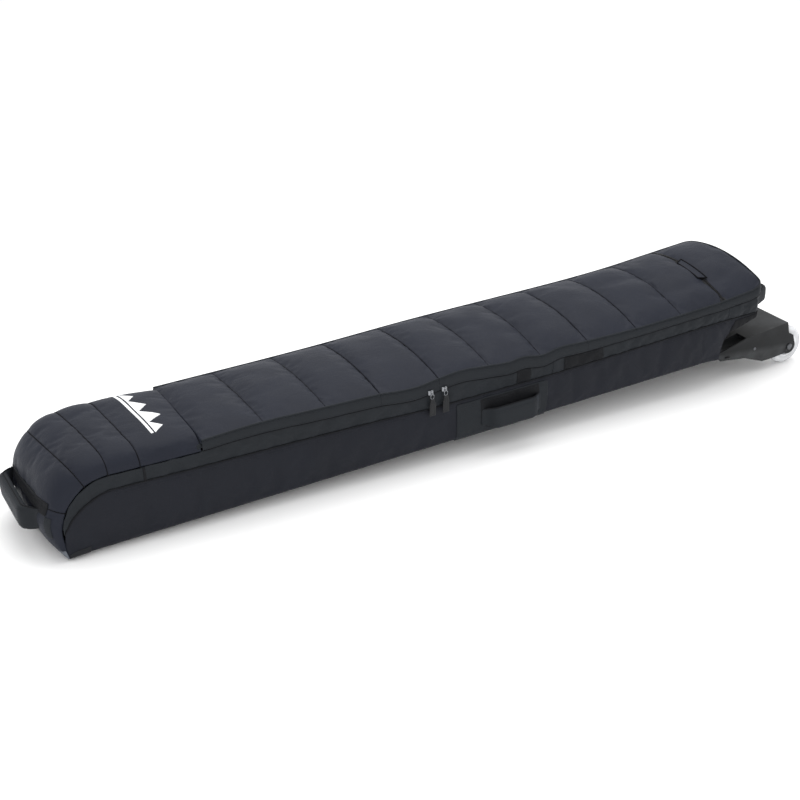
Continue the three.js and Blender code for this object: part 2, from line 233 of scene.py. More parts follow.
def woven(name, colour, rough, thread=0.0011, relief=0.25, sheen=0.05, crinkle=0.0):
    """Cloth: crossed sets of threads, a faint change of tone, and fine crinkles if asked for."""
    paint, tree, shader, coords = nodes_of(name)
    mottle = 0.1
    fill_in(shader, Sheen_Weight=sheen, Sheen_Roughness=0.4, Sheen_Tint=(0.62, 0.68, 0.85, 1),
            Specular_IOR_Level=0.17)
    tone = texture(tree, "ShaderNodeTexNoise", coords, 9.0, Detail=5.0, Roughness=0.6)
    fleck = texture(tree, "ShaderNodeTexNoise", coords, 900.0, Detail=2.0)
    mix = math_node(tree, "ADD", math_node(tree, "MULTIPLY", tone, 0.75),
                    math_node(tree, "MULTIPLY", fleck, 0.25))
    dark = [c * (1 - mottle) for c in colour]
    light = [c * (1 + mottle) for c in colour]
    tree.links.new(ramp(tree, mix, [(0.35, dark), (0.65, light)]), shader.inputs["Base Color"])
    varied(tree, shader, tone, 0.16, rough - 0.08)
    warp, weft, up = [ribs(tree, coords, thread, way, 0.4) for way in "XYZ"]
    weave = math_node(tree, "ADD", math_node(tree, "MULTIPLY", warp, weft), up)
    threads = bump(tree, shader, weave, relief, 0.0003)
    if crinkle:
        creases = texture(tree, "ShaderNodeTexNoise", coords, 26.0, Detail=4.0, Roughness=0.55,
                          Distortion=0.7)
        bump(tree, shader, creases, crinkle, 0.004, under=threads)
    return paint


def ribbed(name, colour, pitch=0.002):
    """Webbing and zip tape: ribs across, with paler crests."""
    paint, tree, shader, coords = nodes_of(name)
    crests = ribs(tree, coords, pitch, "X", 0.6)
    fuzz = texture(tree, "ShaderNodeTexNoise", coords, 400.0, Detail=3.0)
    tone = math_node(tree, "ADD", math_node(tree, "MULTIPLY", crests, 0.5),
                     math_node(tree, "MULTIPLY", fuzz, 0.5))
    shades = [(0.3, [c * 0.75 for c in colour]), (0.7, [c * 1.2 for c in colour])]
    tree.links.new(ramp(tree, tone, shades), shader.inputs["Base Color"])
    fill_in(shader, Roughness=0.65, Sheen_Weight=0.04, Specular_IOR_Level=0.3)
    bump(tree, shader, crests, 0.5, 0.0005)
    return paint


def plastic(name, colour, rough, grain=0.3, wear=0.0, clear=0.0):
    """Moulded plastic: a fine spark-eroded grain, and paler rubbed edges where asked for."""
    paint, tree, shader, coords = nodes_of(name)
    pits = texture(tree, "ShaderNodeTexNoise", coords, 1500.0, Detail=2.0)
    smear = texture(tree, "ShaderNodeTexNoise", coords, 30.0, Detail=4.0)
    shades = [(0.3, [c * 0.88 for c in colour]), (0.7, [c * 1.1 for c in colour])]
    base = ramp(tree, smear, shades)
    if wear:
        geometry = tree.nodes.new("ShaderNodeNewGeometry")
        edge = ramp(tree, geometry.outputs["Pointiness"], [(0.52, (0, 0, 0)), (0.62, (1, 1, 1))])
        rub = math_node(tree, "MULTIPLY", edge, math_node(tree, "MULTIPLY", smear, wear))
        blend = tree.nodes.new("ShaderNodeMix")
        blend.data_type = "RGBA"
        tree.links.new(rub, blend.inputs["Factor"])
        tree.links.new(base, blend.inputs["A"])
        blend.inputs["B"].default_value = (0.22, 0.23, 0.24, 1)
        base = blend.outputs["Result"]
    tree.links.new(base, shader.inputs["Base Color"])
    varied(tree, shader, smear, 0.15, rough - 0.07)
    fill_in(shader, Transmission_Weight=clear, Specular_IOR_Level=0.5 if clear else 0.18)
    bump(tree, shader, pits, grain, 0.0001)
    return paint


def metal(name, colour, rough):
    paint, tree, shader, coords = nodes_of(name)
    grime = texture(tree, "ShaderNodeTexNoise", coords, 260.0, Detail=5.0)
    shades = [(0.3, [c * 0.8 for c in colour]), (0.7, colour)]
    tree.links.new(ramp(tree, grime, shades), shader.inputs["Base Color"])
    shader.inputs["Metallic"].default_value = 1.0
    varied(tree, shader, grime, 0.2, rough - 0.1)
    return paint


LID_CLOTH = woven("lid_cloth", (0.0104, 0.0125, 0.0205), 0.58, crinkle=0.4)
SIDE_CLOTH = woven("side_cloth", (0.0090, 0.0102, 0.0150), 0.65, sheen=0.04, crinkle=0.5)
BAND_CLOTH = woven("band_cloth", (0.0125, 0.0148, 0.0180), 0.66, thread=0.0016, relief=0.4)
# DARK_CLOTH is real dark cloth on piping, seams and patches, and painted shade on the tail wall, the side
# walls' recess at the tail and behind the side handles
DARK_CLOTH = woven("dark_cloth", (0.0060, 0.0065, 0.0080), 0.75, thread=0.0016, relief=0.4, sheen=0.02)
BASE_CLOTH = woven("base_cloth", (0.0110, 0.0120, 0.0140), 0.45, thread=0.003, relief=0.3, sheen=0.0)
PALE_CLOTH = woven("pale_cloth", (0.11, 0.12, 0.14), 0.5, relief=0.2)
LINING = woven("lining", (0.10, 0.11, 0.13), 0.7, relief=0.2, sheen=0.1)
WEBBING = ribbed("webbing", (0.0110, 0.0115, 0.0130))
TAPE = ribbed("zip_tape", (0.0040, 0.0045, 0.0060), pitch=0.0012)
THREAD = plastic("thread", (0.020, 0.023, 0.029), 0.6)
COIL = plastic("zip_coil", (0.006, 0.006, 0.007), 0.4)
# SEAM_SHADE is painted shade: a near-black for the shaded creases of the seams, under the flap's lower edge
# and round the zip hood
SEAM_SHADE = plastic("seam_shade", (0.002, 0.002, 0.003), 0.95)
NYLON = plastic("moulded_nylon", (0.0050, 0.0055, 0.0065), 0.5, wear=0.25)
URETHANE = plastic("urethane", (0.80, 0.81, 0.83), 0.22, grain=0.1, clear=0.35)
CORE = plastic("wheel_core", (0.72, 0.73, 0.75), 0.35, grain=0.1)
STEEL = metal("steel", (0.12, 0.125, 0.135), 0.38)
NICKEL = metal("nickel", (0.30, 0.31, 0.33), 0.30)
PRINT = plastic("white_print", (0.86, 0.87, 0.88), 0.5, grain=0.2)


# ------------------------------------------------------------------ making pieces
def bag_to_row(point):
    return tuple(BAG @ Vector(point))


def folds(one, other, x0, x1):
    """What piece() takes for cloth that spans from one body to another, from x0 to x1 along the bag; piece()
    puts such cloth on no body.
    """
    return one, other, (x0, 0, FOLD_Z), (x1, 0, FOLD_Z)


def piece(name, verts, faces, paint, body, stands_for=(), slot=None, subdivide=0, crisp=None, fill=None):
    """A closed mesh given in the bag's axes becomes a piece that rides on a body of the frame. Where the
    body is (one, other, start, end), the piece rides on no body and stays where it is."""
    mesh = bpy.data.meshes.new(name)
    mesh.from_pydata([tuple(map(float, v)) for v in verts], [], [tuple(map(int, f)) for f in faces])
    mesh.transform(BAG)
    form = bmesh.new()
    form.from_mesh(mesh)
    bmesh.ops.recalc_face_normals(form, faces=form.faces)
    form.to_mesh(mesh)
    form.free()
    thing = bpy.data.objects.new(name, mesh)
    bpy.context.scene.collection.objects.link(thing)
    if subdivide:
        finer = thing.modifiers.new("finer", "SUBSURF")
        finer.levels = finer.render_levels = subdivide
        graph = bpy.context.evaluated_depsgraph_get()
        mesh = bpy.data.meshes.new_from_object(thing.evaluated_get(graph))
        thing.modifiers.clear()
        thing.data = mesh
    mesh.polygons.foreach_set("use_smooth", [True] * len(mesh.polygons))
    if crisp:
        mesh.set_sharp_from_angle(angle=math.radians(crisp))
    mesh.materials.append(paint)
    if isinstance(body, str):
        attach(thing, body)
    else:
        one, other, start, end = body
        bag_to_row(start)
        bag_to_row(end)
        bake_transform(thing)
    if stands_for:
        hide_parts(*stands_for)


def smooth(low, high, x):
    t = np.clip((np.asarray(x, float) - low) / (high - low), 0, 1)
    return t * t * (3 - 2 * t)


def wander(points, size, seed):
    """Smooth noise from -1 to 1 at each point, with features about `size` across."""
    flat = np.asarray(points, float).reshape(-1, 3)
    values = [noise.noise(Vector(p) / size + Vector((seed, 2 * seed, 0))) for p in flat]
    return np.array(values).reshape(np.shape(points)[:-1])


def grid_faces(nu, nv):
    index = np.arange(nu * nv).reshape(nu, nv)
    return np.stack([index[:-1, :-1], index[1:, :-1], index[1:, 1:], index[:-1, 1:]], -1).reshape(-1, 4)


def slab(top, bottom):
    """Vertices and faces of the closed solid between two grids of points."""
    nu, nv = top.shape[:2]
    index = np.arange(nu * nv).reshape(nu, nv)
    upper = grid_faces(nu, nv)
    lower = upper[:, ::-1] + nu * nv
    rim = np.concatenate([index[:, 0], index[-1, 1:], index[-2::-1, -1], index[0, -2:0:-1]])
    after = np.roll(rim, -1)
    wall = np.stack([after, rim, rim + nu * nv, after + nu * nv], -1)
    return np.concatenate([top.reshape(-1, 3), bottom.reshape(-1, 3)]), np.concatenate([upper, lower, wall])


def normals(grid):
    across = np.cross(np.gradient(grid, axis=0), np.gradient(grid, axis=1))
    return across / np.maximum(np.linalg.norm(across, axis=-1, keepdims=True), 1e-12)


def tube_faces(count, sides, closed):
    """Faces of a tube of rings, joined end to end where it is closed, or else capped at both ends."""
    index = np.arange(count * sides).reshape(count, sides)
    following = np.roll(index, -1, 0) if closed else index[1:]
    current = index if closed else index[:-1]
    faces = np.stack([current, following, np.roll(following, -1, 1), np.roll(current, -1, 1)], -1)
    caps = [] if closed else [tuple(index[0][::-1]), tuple(index[-1])]
    return [tuple(f) for f in faces.reshape(-1, 4)] + caps


def sweep(path, section, closed=False):
    """A closed tube: the (a, b) section is carried along the path, kept upright."""
    path = np.asarray(path, float)
    if closed:
        ahead = np.roll(path, -1, 0) - np.roll(path, 1, 0)
    else:
        ahead = np.gradient(path, axis=0)
    ahead /= np.linalg.norm(ahead, axis=1, keepdims=True)
    side = np.cross(ahead, (0, 0, 1.0))
    weak = np.linalg.norm(side, axis=1) < 1e-3
    side[weak] = (0, 1.0, 0)
    side /= np.linalg.norm(side, axis=1, keepdims=True)
    up = np.cross(side, ahead)
    ring = path[:, None] + section[:, :1] * side[:, None] + section[:, 1:] * up[:, None]
    return ring.reshape(-1, 3), tube_faces(*ring.shape[:2], closed)


def circle(radius, sides=8, flat=1.0):
    turn = np.linspace(0, 2 * math.pi, sides, endpoint=False)
    return np.stack([radius * np.cos(turn), radius * flat * np.sin(turn)], -1)


def box(middle, *arms):
    """A box from its middle and its three half sides."""
    signs = (-1, 1)
    corners = [middle + i * arms[0] + j * arms[1] + k * arms[2] for i in signs for j in signs for k in signs]
    return corners, [(0, 1, 3, 2), (4, 6, 7, 5), (0, 4, 5, 1), (2, 3, 7, 6), (0, 2, 6, 4), (1, 5, 7, 3)]


def joined(parts):
    """Several closed shapes as one mesh."""
    verts, faces, base = [], [], 0
    for some, shape in parts:
        verts.extend(some)
        faces.extend(tuple(int(i) + base for i in f) for f in shape)
        base += len(some)
    return verts, faces


def stitches(path, out, pitch=0.0042, length=0.0029, thick=0.00055):
    """A row of thread stitches along a path, each a small lozenge on cloth that faces out."""
    path = np.asarray(path, float)
    out = np.broadcast_to(np.asarray(out, float), path.shape)
    run = np.concatenate([[0], np.cumsum(np.linalg.norm(np.diff(path, axis=0), axis=1))])
    parts = []
    lozenge = [(0, 2, 4), (0, 4, 3), (0, 3, 5), (0, 5, 2), (1, 4, 2), (1, 3, 4), (1, 5, 3), (1, 2, 5)]
    for start in np.arange(pitch / 2, run[-1] - length, pitch):
        ends = [np.array([np.interp(start + d, run, path[:, k]) for k in range(3)]) for d in (0, length)]
        normal = np.array([np.interp(start, run, out[:, k]) for k in range(3)])
        normal /= np.linalg.norm(normal)
        along = (ends[1] - ends[0]) / np.linalg.norm(ends[1] - ends[0])
        across = np.cross(along, normal) * thick
        middle = (ends[0] + ends[1]) / 2
        parts.append(([*ends, middle + across, middle - across, middle + normal * thick,
                       middle - normal * thick], lozenge))
    return joined(parts)


# ------------------------------------------------------------------ cloth that is pinned at its seams
def sheet_of(grid, press, slack, limit, bend, rows=(0, -1), columns=(0, -1)):
    """A grid of points as settle() takes it: which rows and columns of it are sewn down, the pressure from
    inside, the spare cloth, how far a point may move, and how stiff the cloth is in bending."""
    pins = np.zeros(grid.shape[:2], bool)
    pins[list(rows)] = True
    pins[:, list(columns)] = True
    return {"grid": grid, "pins": pins, "press": press, "slack": slack, "limit": limit, "bend": bend}


def settle(sheets, frames=18):
    """Cloth simulation blows each sheet up between its pinned points, with a little spare cloth, so that it
    puckers as sewn fabric does. The grids change in place."""
    scene = bpy.context.scene
    things = []
    for n, sheet in enumerate(sheets):
        nu, nv = sheet["grid"].shape[:2]
        mesh = bpy.data.meshes.new(f"cloth_{n}")
        mesh.from_pydata(sheet["grid"].reshape(-1, 3).tolist(), [], grid_faces(nu, nv).tolist())
        thing = bpy.data.objects.new(mesh.name, mesh)
        scene.collection.objects.link(thing)
        group = thing.vertex_groups.new(name="pins")
        group.add(np.flatnonzero(sheet["pins"].reshape(-1)).tolist(), 1.0, "REPLACE")
        modifier = thing.modifiers.new("cloth", "CLOTH")
        settings = modifier.settings
        settings.vertex_group_mass = "pins"
        settings.quality = 5
        settings.mass = 0.12
        settings.air_damping = 2.0
        settings.tension_stiffness = settings.compression_stiffness = 14
        settings.shear_stiffness = 4
        settings.bending_stiffness = sheet["bend"]
        settings.shrink_min = -sheet["slack"]
        settings.use_pressure = True
        settings.use_pressure_volume = True
        settings.target_volume = 0
        settings.uniform_pressure_force = sheet["press"]
        settings.effector_weights.gravity = 0
        modifier.collision_settings.use_collision = False
        modifier.point_cache.frame_start = 1
        modifier.point_cache.frame_end = frames
        things.append(thing)
    for step in range(1, frames + 1):
        scene.frame_set(step)
    graph = bpy.context.evaluated_depsgraph_get()
    for thing, sheet in zip(things, sheets):
        settled = thing.evaluated_get(graph).data
        places = np.empty(len(settled.vertices) * 3)
        settled.vertices.foreach_get("co", places)
        moved = places.reshape(sheet["grid"].shape) - sheet["grid"]
        length = np.linalg.norm(moved, axis=-1, keepdims=True)
        sheet["grid"] = sheet["grid"] + moved * np.minimum(1, sheet["limit"] / np.maximum(length, 1e-9))
        mesh = thing.data
        bpy.data.objects.remove(thing)
        bpy.data.meshes.remove(mesh)
    scene.frame_set(1)


# ------------------------------------------------------------------ the lines that the panels are sewn along
def through(points, t):
    """A smooth curve through the points, where t runs from 0 at the first to the last one's index."""
    points = np.asarray(points, float)
    padded = np.concatenate([[2 * points[0] - points[1]], points, [2 * points[-1] - points[-2]]])
    t = np.asarray(t, float)
    k = np.clip(np.floor(t).astype(int), 0, len(points) - 2)
    f = (t - k)[..., None]
    before, first, second, after = (padded[k + n] for n in range(4))
    return first + 0.5 * f * (second - before + f * (2 * before - 5 * first + 4 * second - after
                                                     + f * (3 * (first - second) + after - before)))


def height(points, x):
    """Height at x of the smooth line through the (x, height) points."""
    points = np.asarray(points, float)
    return through(points, np.interp(x, points[:, 0], range(len(points))))[..., 1]


POCKET_SEAM = 1.645                                 # the cross zip of the lid's pocket
LID_SEAMS = [LID_START, 0.438, 0.579, FOLDS[1], 0.850, 0.978, 1.115, FOLDS[2], 1.382, 1.515, POCKET_SEAM,
             LID_END]
CORNER = 0.018                                      # rounding of the lid's tail corners, seen from above
# Each line is given by its (x, height) points from the nose to the tail: the lid's edges, how far its middle
# rises over them, how far the flap hangs down, and the seam between the side wall and the gusset.
FRONT_EDGE = [(0.303, 0.185), (0.43, 0.188), (0.58, 0.181), (0.70, 0.175), (0.79, 0.166), (0.86, 0.173),
              (0.91, 0.176), (0.965, 0.170), (1.033, 0.163), (1.068, 0.166), (1.122, 0.157), (1.165, 0.164),
              (1.24, 0.160), (1.40, 0.156), (1.62, 0.160), (1.73, 0.169), (1.765, 0.179)]
BACK_EDGE = [(0.303, 0.180), (0.65, 0.178), (0.95, 0.182), (1.34, 0.180), (1.5, 0.183), (1.65, 0.192),
             (1.765, 0.199)]
CROWN = [(0.303, 0.006), (0.45, 0.0085), (0.7, 0.016), (1.0, 0.017), (1.25, 0.022), (1.5, 0.024),
         (1.765, 0.0265)]
FLAP_DROP = [(0.303, 0.023), (0.6, 0.027), (1.0, 0.029), (1.2, 0.027), (1.4, 0.021), (1.6, 0.021),
             (1.765, 0.026)]
LONG_SEAM = [(0.106, 0.133), (0.27, 0.127), (0.50, 0.120), (0.70, 0.112), (0.82, 0.105), (1.04, 0.102),
             (1.24, 0.102), (1.45, 0.105), (1.64, 0.108), (1.77, 0.106)]
# The nose from the floor up and over to the lid: where it is sewn at each side, and along its middle.
NOSE_EDGE = [(0.010, 0.006), (0.004, 0.040), (0.005, 0.074), (0.010, 0.092), (0.022, 0.118), (0.044, 0.141),
             (0.068, 0.157), (0.100, 0.164), (0.130, 0.163), (0.165, 0.162), (0.232, 0.160), (0.3025, 0.158)]
NOSE_MIDDLE = [(0.004, 0.004), (-0.018, 0.040), (-0.028, 0.080), (-0.026, 0.101), (-0.013, 0.138),
               (0.017, 0.177), (0.055, 0.196), (0.099, 0.203), (0.131, 0.204), (0.166, 0.202),
               (0.232, 0.196), (0.3025, 0.191)]
NOSE_SEAMS = [0, 3.4, 5.4, 7, 9, 11]
TOE, SIDE_TOP = 2, 7                                # where the gusset starts, and where it levels out
TAIL_LINE = [(0.0, 0.003), (0.007, 0.051), (0.026, 0.072), (0.066, 0.081), (0.112, 0.0945), (0.1195, 0.105)]


def lid_z(x, y):
    front, back = height(FRONT_EDGE, x), height(BACK_EDGE, x)
    across = np.asarray(y) / HALF
    return front + (back - front) * (across + 1) / 2 + height(CROWN, x) * (1 - across ** 2)


def lid_half(x):
    """Half width of the lid, rounded off at its tail corners."""
    inset = np.clip(np.asarray(x, float) - (LID_END - CORNER), 0, CORNER)
    return WALL - CORNER + np.sqrt(CORNER ** 2 - inset ** 2)


def stations(seams, count, squeeze=0.72):
    """Places along a run of seams, closer together near each seam."""
    t = np.arange(count) / count
    t = t - squeeze * np.sin(2 * math.pi * t) / (2 * math.pi)
    places = [a + (b - a) * t for a, b in zip(seams, seams[1:])]
    return np.concatenate([*places, [seams[-1]]])


def sag(x, y):
    """Loose cloth, on the lid: more of it toward the tail."""
    return wander(np.stack([x, 1.5 * y, 0 * x], -1), 0.075, 7) * (0.0018 + 0.0048 * smooth(0.7, 1.3, x))


def bay(x, seams):
    """0 at the seams, 1 midway between them."""
    place = np.interp(x, seams, range(len(seams)))
    return np.sin(math.pi * (place % 1.0)) ** 0.6


def across(count, squeeze=0.95):
    return np.sin(np.linspace(-1, 1, count) * math.pi / 2 * squeeze) / math.sin(math.pi / 2 * squeeze)


# ------------------------------------------------------------------ quilted lid and nose, as sheets
LID_COUNT, NOSE_COUNT = 22, 16                      # rows of points from one cross seam to the next
ACROSS = 54                                         # points from side to side
LID_XS = stations(LID_SEAMS, LID_COUNT)


def lid_row(x):
    """The row of the lid's sheet that is nearest to x."""
    return int(np.argmin(np.abs(LID_XS - x)))


def lid_sheet():
    """The lid's top: a pillow from each cross seam to the next, and looser cloth toward the tail."""
    x, v = np.meshgrid(LID_XS, across(ACROSS), indexing="ij")
    y = v * lid_half(x)
    z = lid_z(x, y) + 0.0045 * bay(x, LID_SEAMS) * (1 - v ** 8)
    z = z + sag(x, y) * np.minimum(1, 1.6 * bay(x, LID_SEAMS)) * (1 - v ** 6)
    grid = np.stack([x, y, z], -1)
    grid[::LID_COUNT, 1:-1, 2] -= 0.0016
    return sheet_of(grid, 3.0, 0.010, 0.006, 0.6, rows=range(0, len(grid), LID_COUNT))


def nose_sheet():
    """The nose from the floor up and over to the lid, bulging between its two side edges."""
    t = stations(NOSE_SEAMS, NOSE_COUNT)[:, None]
    v = across(ACROSS)[None]
    askew = np.sin(math.pi * t / NOSE_SEAMS[-1]) * (-0.10 - 0.40 * v)     # the seams run a little aslant
    edge = through(NOSE_EDGE, t + askew * np.ones_like(v))
    middle = through(NOSE_MIDDLE, t + askew)
    dome = ((1 - np.abs(v) ** 5) ** (1 / 2.4))[..., None]
    line = edge + (middle - edge) * dome
    grid = np.stack([line[..., 0], v * WALL + 0 * t, line[..., 1]], -1)
    puff = 0.0040 * bay(t, NOSE_SEAMS) * (1 - v ** 8) + 0.0016 * wander(grid, 0.06, 15) * (1 - v ** 4)
    grid = grid + normals(grid) * puff[..., None]
    return sheet_of(grid, 3.0, 0.010, 0.006, 0.6, rows=range(0, len(grid), NOSE_COUNT))


# ------------------------------------------------------------------ side walls, gusset and tail, as sheets
NOSE_STEPS = 16
SEAM_TOE, SEAM_PULL = (0.007, 0.062), (0.035, 0.118)
WALL_XS = np.concatenate([np.linspace(LONG_SEAM[0][0], 1.58, 190),
                          np.linspace(1.58, LID_END - 0.001, 60)[1:]])


def seam_line():
    """The long seam as X, Z points from its toe on the nose to the tail."""
    t = np.linspace(0, 1, NOSE_STEPS)[:, None]
    toe, pull, top = (np.array(p) for p in (SEAM_TOE, SEAM_PULL, LONG_SEAM[0]))
    over = (1 - t) ** 2 * toe + 2 * t * (1 - t) * pull + t ** 2 * top
    return np.concatenate([over, np.stack([WALL_XS[1:], height(LONG_SEAM, WALL_XS[1:])], -1)])


def side_sheet(sign, seed):
    """A side wall, from the bottom panel and the tail's edge up to the long seam. Each place along the seam
    has its own foot, worked out between the knots."""
    top = seam_line()
    knots = [SEAM_TOE[0], LONG_SEAM[0][0], 1.62, 1.640, 1.665, 1.692, 1.725, LID_END]
    feet = [(0.006, 0.002), (0.100, 0.002), (1.620, 0.002)]
    feet += [(TAIL_FOOT + dx, z) for dx, z in TAIL_LINE[:5]]
    foot = np.stack([np.interp(top[:, 0], knots, [f[k] for f in feet]) for k in (0, 1)], -1)
    v = np.concatenate([np.linspace(0, 0.12, 4)[:-1], np.linspace(0.12, 1, 19)])[None]
    x = foot[:, :1] + (top[:, :1] - foot[:, :1]) * v
    z = foot[:, 1:] + (top[:, 1:] - foot[:, 1:]) * v
    tuck = 0.011 * np.clip(1 - v / 0.12, 0, 1) ** 2 * (1 - smooth(1.60, 1.66, x))
    ends = smooth(0, 0.05, x) * (1 - smooth(TAIL_FOOT - 0.02, TAIL_FOOT + 0.05, x) * 0.6)
    out = lid_half(x) - tuck + 0.003 * np.sin(math.pi * v) * ends
    grid = np.stack([x, out, z], -1)
    slack = 0.0030 * wander(grid, 0.16, seed) + 0.0014 * wander(grid, 0.05, seed + 1)
    grid[..., 1] += slack * np.sin(math.pi * v) * ends
    grid[..., 1] *= sign
    return sheet_of(grid, -1.6 * sign, 0.010, 0.006, 1.0, columns=(0, 1, 2, -1))


def round_the_tail(x):
    """Plan of the bag's outline along the front, round the tail and along the back, at these x places."""
    x = x[x < LID_END - CORNER]
    turn = np.linspace(-math.pi / 2, 0, 12)
    corner = np.stack([LID_END - CORNER + CORNER * np.cos(turn), CORNER - WALL + CORNER * np.sin(turn)], -1)
    front = np.stack([x, np.full_like(x, -WALL)], -1)
    ys = np.linspace(CORNER - WALL, WALL - CORNER, 32)[1:-1]
    end = np.stack([np.full_like(ys, LID_END), ys], -1)
    mirror = np.array([1, -1])
    return np.concatenate([front, corner, end, (corner * mirror)[::-1], (front * mirror)[::-1]])


def gusset_sheet():
    """One band along the front, round the tail and back, between the long seam and the zip."""
    low = seam_line()[:NOSE_STEPS]
    high = through(NOSE_EDGE, np.linspace(TOE, SIDE_TOP, NOSE_STEPS))
    plan = round_the_tail(WALL_XS[1:])
    low_run = np.concatenate([plan, height(LONG_SEAM, plan[:, 0])[:, None]], 1)
    level = NOSE_EDGE[SIDE_TOP:]
    up = np.where(plan[:, 0] < LID_START, np.interp(plan[:, 0], *np.transpose(level)),
                  lid_z(*plan.T) - height(FLAP_DROP, plan[:, 0]) + 0.004)
    high_run = np.concatenate([plan, up[:, None]], 1)

    def whole(toe, run):
        side = np.stack([toe[:, 0], np.full(len(toe), -WALL), toe[:, 1]], -1)
        return np.concatenate([side, run, (side * np.array([1, -1, 1]))[::-1]])

    lower, upper = whole(low, low_run), whole(high, high_run)
    v = np.linspace(0, 1, 11)[None, :, None]
    grid = lower[:, None] * (1 - v) + upper[:, None] * v
    out = normals(grid)
    out[..., 2] = 0
    fold = wander(grid * np.array([1, 1, 2.2]), 0.035, 11)
    grid = grid + out * (0.0022 + 0.0016 * fold[..., None]) * np.sin(math.pi * v)
    return sheet_of(grid, 1.5, 0.022, 0.005, 0.25)


def tail_sheet():
    """The tail's wall, which leans out under the lid's overhang, dented between its edges."""
    t = np.linspace(0, len(TAIL_LINE) - 1, 36)
    line = through(TAIL_LINE, t)
    x = TAIL_FOOT + line[:, 0]
    v = across(40)
    y = v[:, None] * (lid_half(x) - 0.0035)[None]
    dent = 0.005 * np.sin(math.pi * t / t[-1])[None] * (1 - v[:, None] ** 2)
    grid = np.stack([x[None] - dent, y, line[:, 1][None] + dent], -1)
    return sheet_of(grid, -0.6, 0.012, 0.005, 0.4)


# ------------------------------------------------------------------ putting the cloth panels together
LEAVES = [f"lid_leaf_{n}" for n in (1, 2, 3)]
# The lid in five runs. Each fold starts a run that spans from one leaf to the next, on neither of them.
LID_RUNS = [(LID_SEAMS[0], LID_SEAMS[3], LEAVES[0]),
            (LID_SEAMS[3], LID_SEAMS[4], folds(LEAVES[0], LEAVES[1], LID_SEAMS[3], LID_SEAMS[4])),
            (LID_SEAMS[4], LID_SEAMS[7], LEAVES[1]),
            (LID_SEAMS[7], LID_SEAMS[8], folds(LEAVES[1], LEAVES[2], LID_SEAMS[7], LID_SEAMS[8])),
            (LID_SEAMS[8], LID_SEAMS[-1], LEAVES[2])]


def tub_panel(name, grid, thick, paint, stands_for, slot, fill, flip=1):
    """A padded panel of the tub: its sheet, and a lining inside it."""
    inner = grid - normals(grid) * thick * flip
    piece(name, *slab(grid, inner), paint, "tub", stands_for, slot, subdivide=1, fill=fill)


def cord(name, path, radius, paint, body, slot, subdivide=0):
    """Piping, or a near-black cord of painted shade along a seam's crease."""
    piece(name, *sweep(path, circle(radius, 6)), paint, body, slot=slot, subdivide=subdivide)


def sewing(name, path, out, body, slot):
    piece(name, *stitches(path, out), THREAD, body, slot=slot)


def make_lid(grid):
    for n, (start, stop, body) in enumerate(LID_RUNS):
        top = grid[lid_row(start):lid_row(stop) + 1].copy()
        bottom = top.copy()
        bottom[..., 2] = lid_z(top[..., 0], top[..., 1]) - 0.011
        bottom[..., 1] *= 0.985
        stands_for = [] if n % 2 else [f"lid_panel_{n // 2 + 1}"]
        if n == 4:
            stands_for.append("pocket_cover")
        piece(f"lid_quilt_{n + 1}", *slab(top, bottom), LID_CLOTH, body, stands_for, "lid_fabric",
              subdivide=1, fill=0.5)
        for seam in LID_SEAMS[1:-2]:
            if start <= seam < stop:
                name, row = f"{seam * 1000:.0f}", grid[lid_row(seam)]
                # a near-black cord of painted shade in the crease of each cross seam
                cord(f"lid_seam_shade_{name}", row[1:-1], 0.0011, SEAM_SHADE, body, "lid_fabric")
                for side, end in ((-1, "n"), (1, "t")):
                    path = row[2:-2] + np.array([side * 0.0028, 0, 0.0014])
                    sewing(f"lid_stitch_{name}_{end}", path, (0, 0, 1), body, "lid_fabric")


def make_hinge(nose_grid, lid_grid):
    """The strip of cloth at the cross seam that the lid opens at."""
    place = np.linspace(-1, 1, 7)[:, None, None] * np.array([0.009, 0, 0])
    line = (nose_grid[-1, 1:-1] + lid_grid[0, 1:-1]) / 2 - np.array([0, 0, 0.0045])
    top = line[None] + place
    top[..., 2] -= 0.002 * np.abs(np.linspace(-1, 1, 7))[:, None]
    piece("lid_hinge", *slab(top, top - np.array([0, 0, 0.003])), BAND_CLOTH,
          folds("tub", LEAVES[0], LID_START - 0.008, LID_START + 0.008), slot="lid_fabric")


def runs_of_edge():
    """Each run of the lid's edge: name, body, its points and the directions out from it."""
    for n, (start, stop, body) in enumerate(LID_RUNS):
        x = LID_XS[lid_row(start):lid_row(stop) + 1]
        if n < 4:
            for side, sign in SIDES:
                y = np.full_like(x, sign * WALL)
                out = np.broadcast_to(np.array([0, sign, 0.0]), (len(x), 3))
                yield f"{side}_{n + 1}", body, np.stack([x, y, lid_z(x, y)], -1), out
        else:
            plan = round_the_tail(x)
            ahead = np.gradient(plan, axis=0)
            ahead /= np.linalg.norm(ahead, axis=1, keepdims=True)
            out = np.stack([ahead[:, 1], -ahead[:, 0], np.zeros(len(plan))], -1)
            yield "tail", body, np.concatenate([plan, lid_z(*plan.T)[:, None]], 1), out


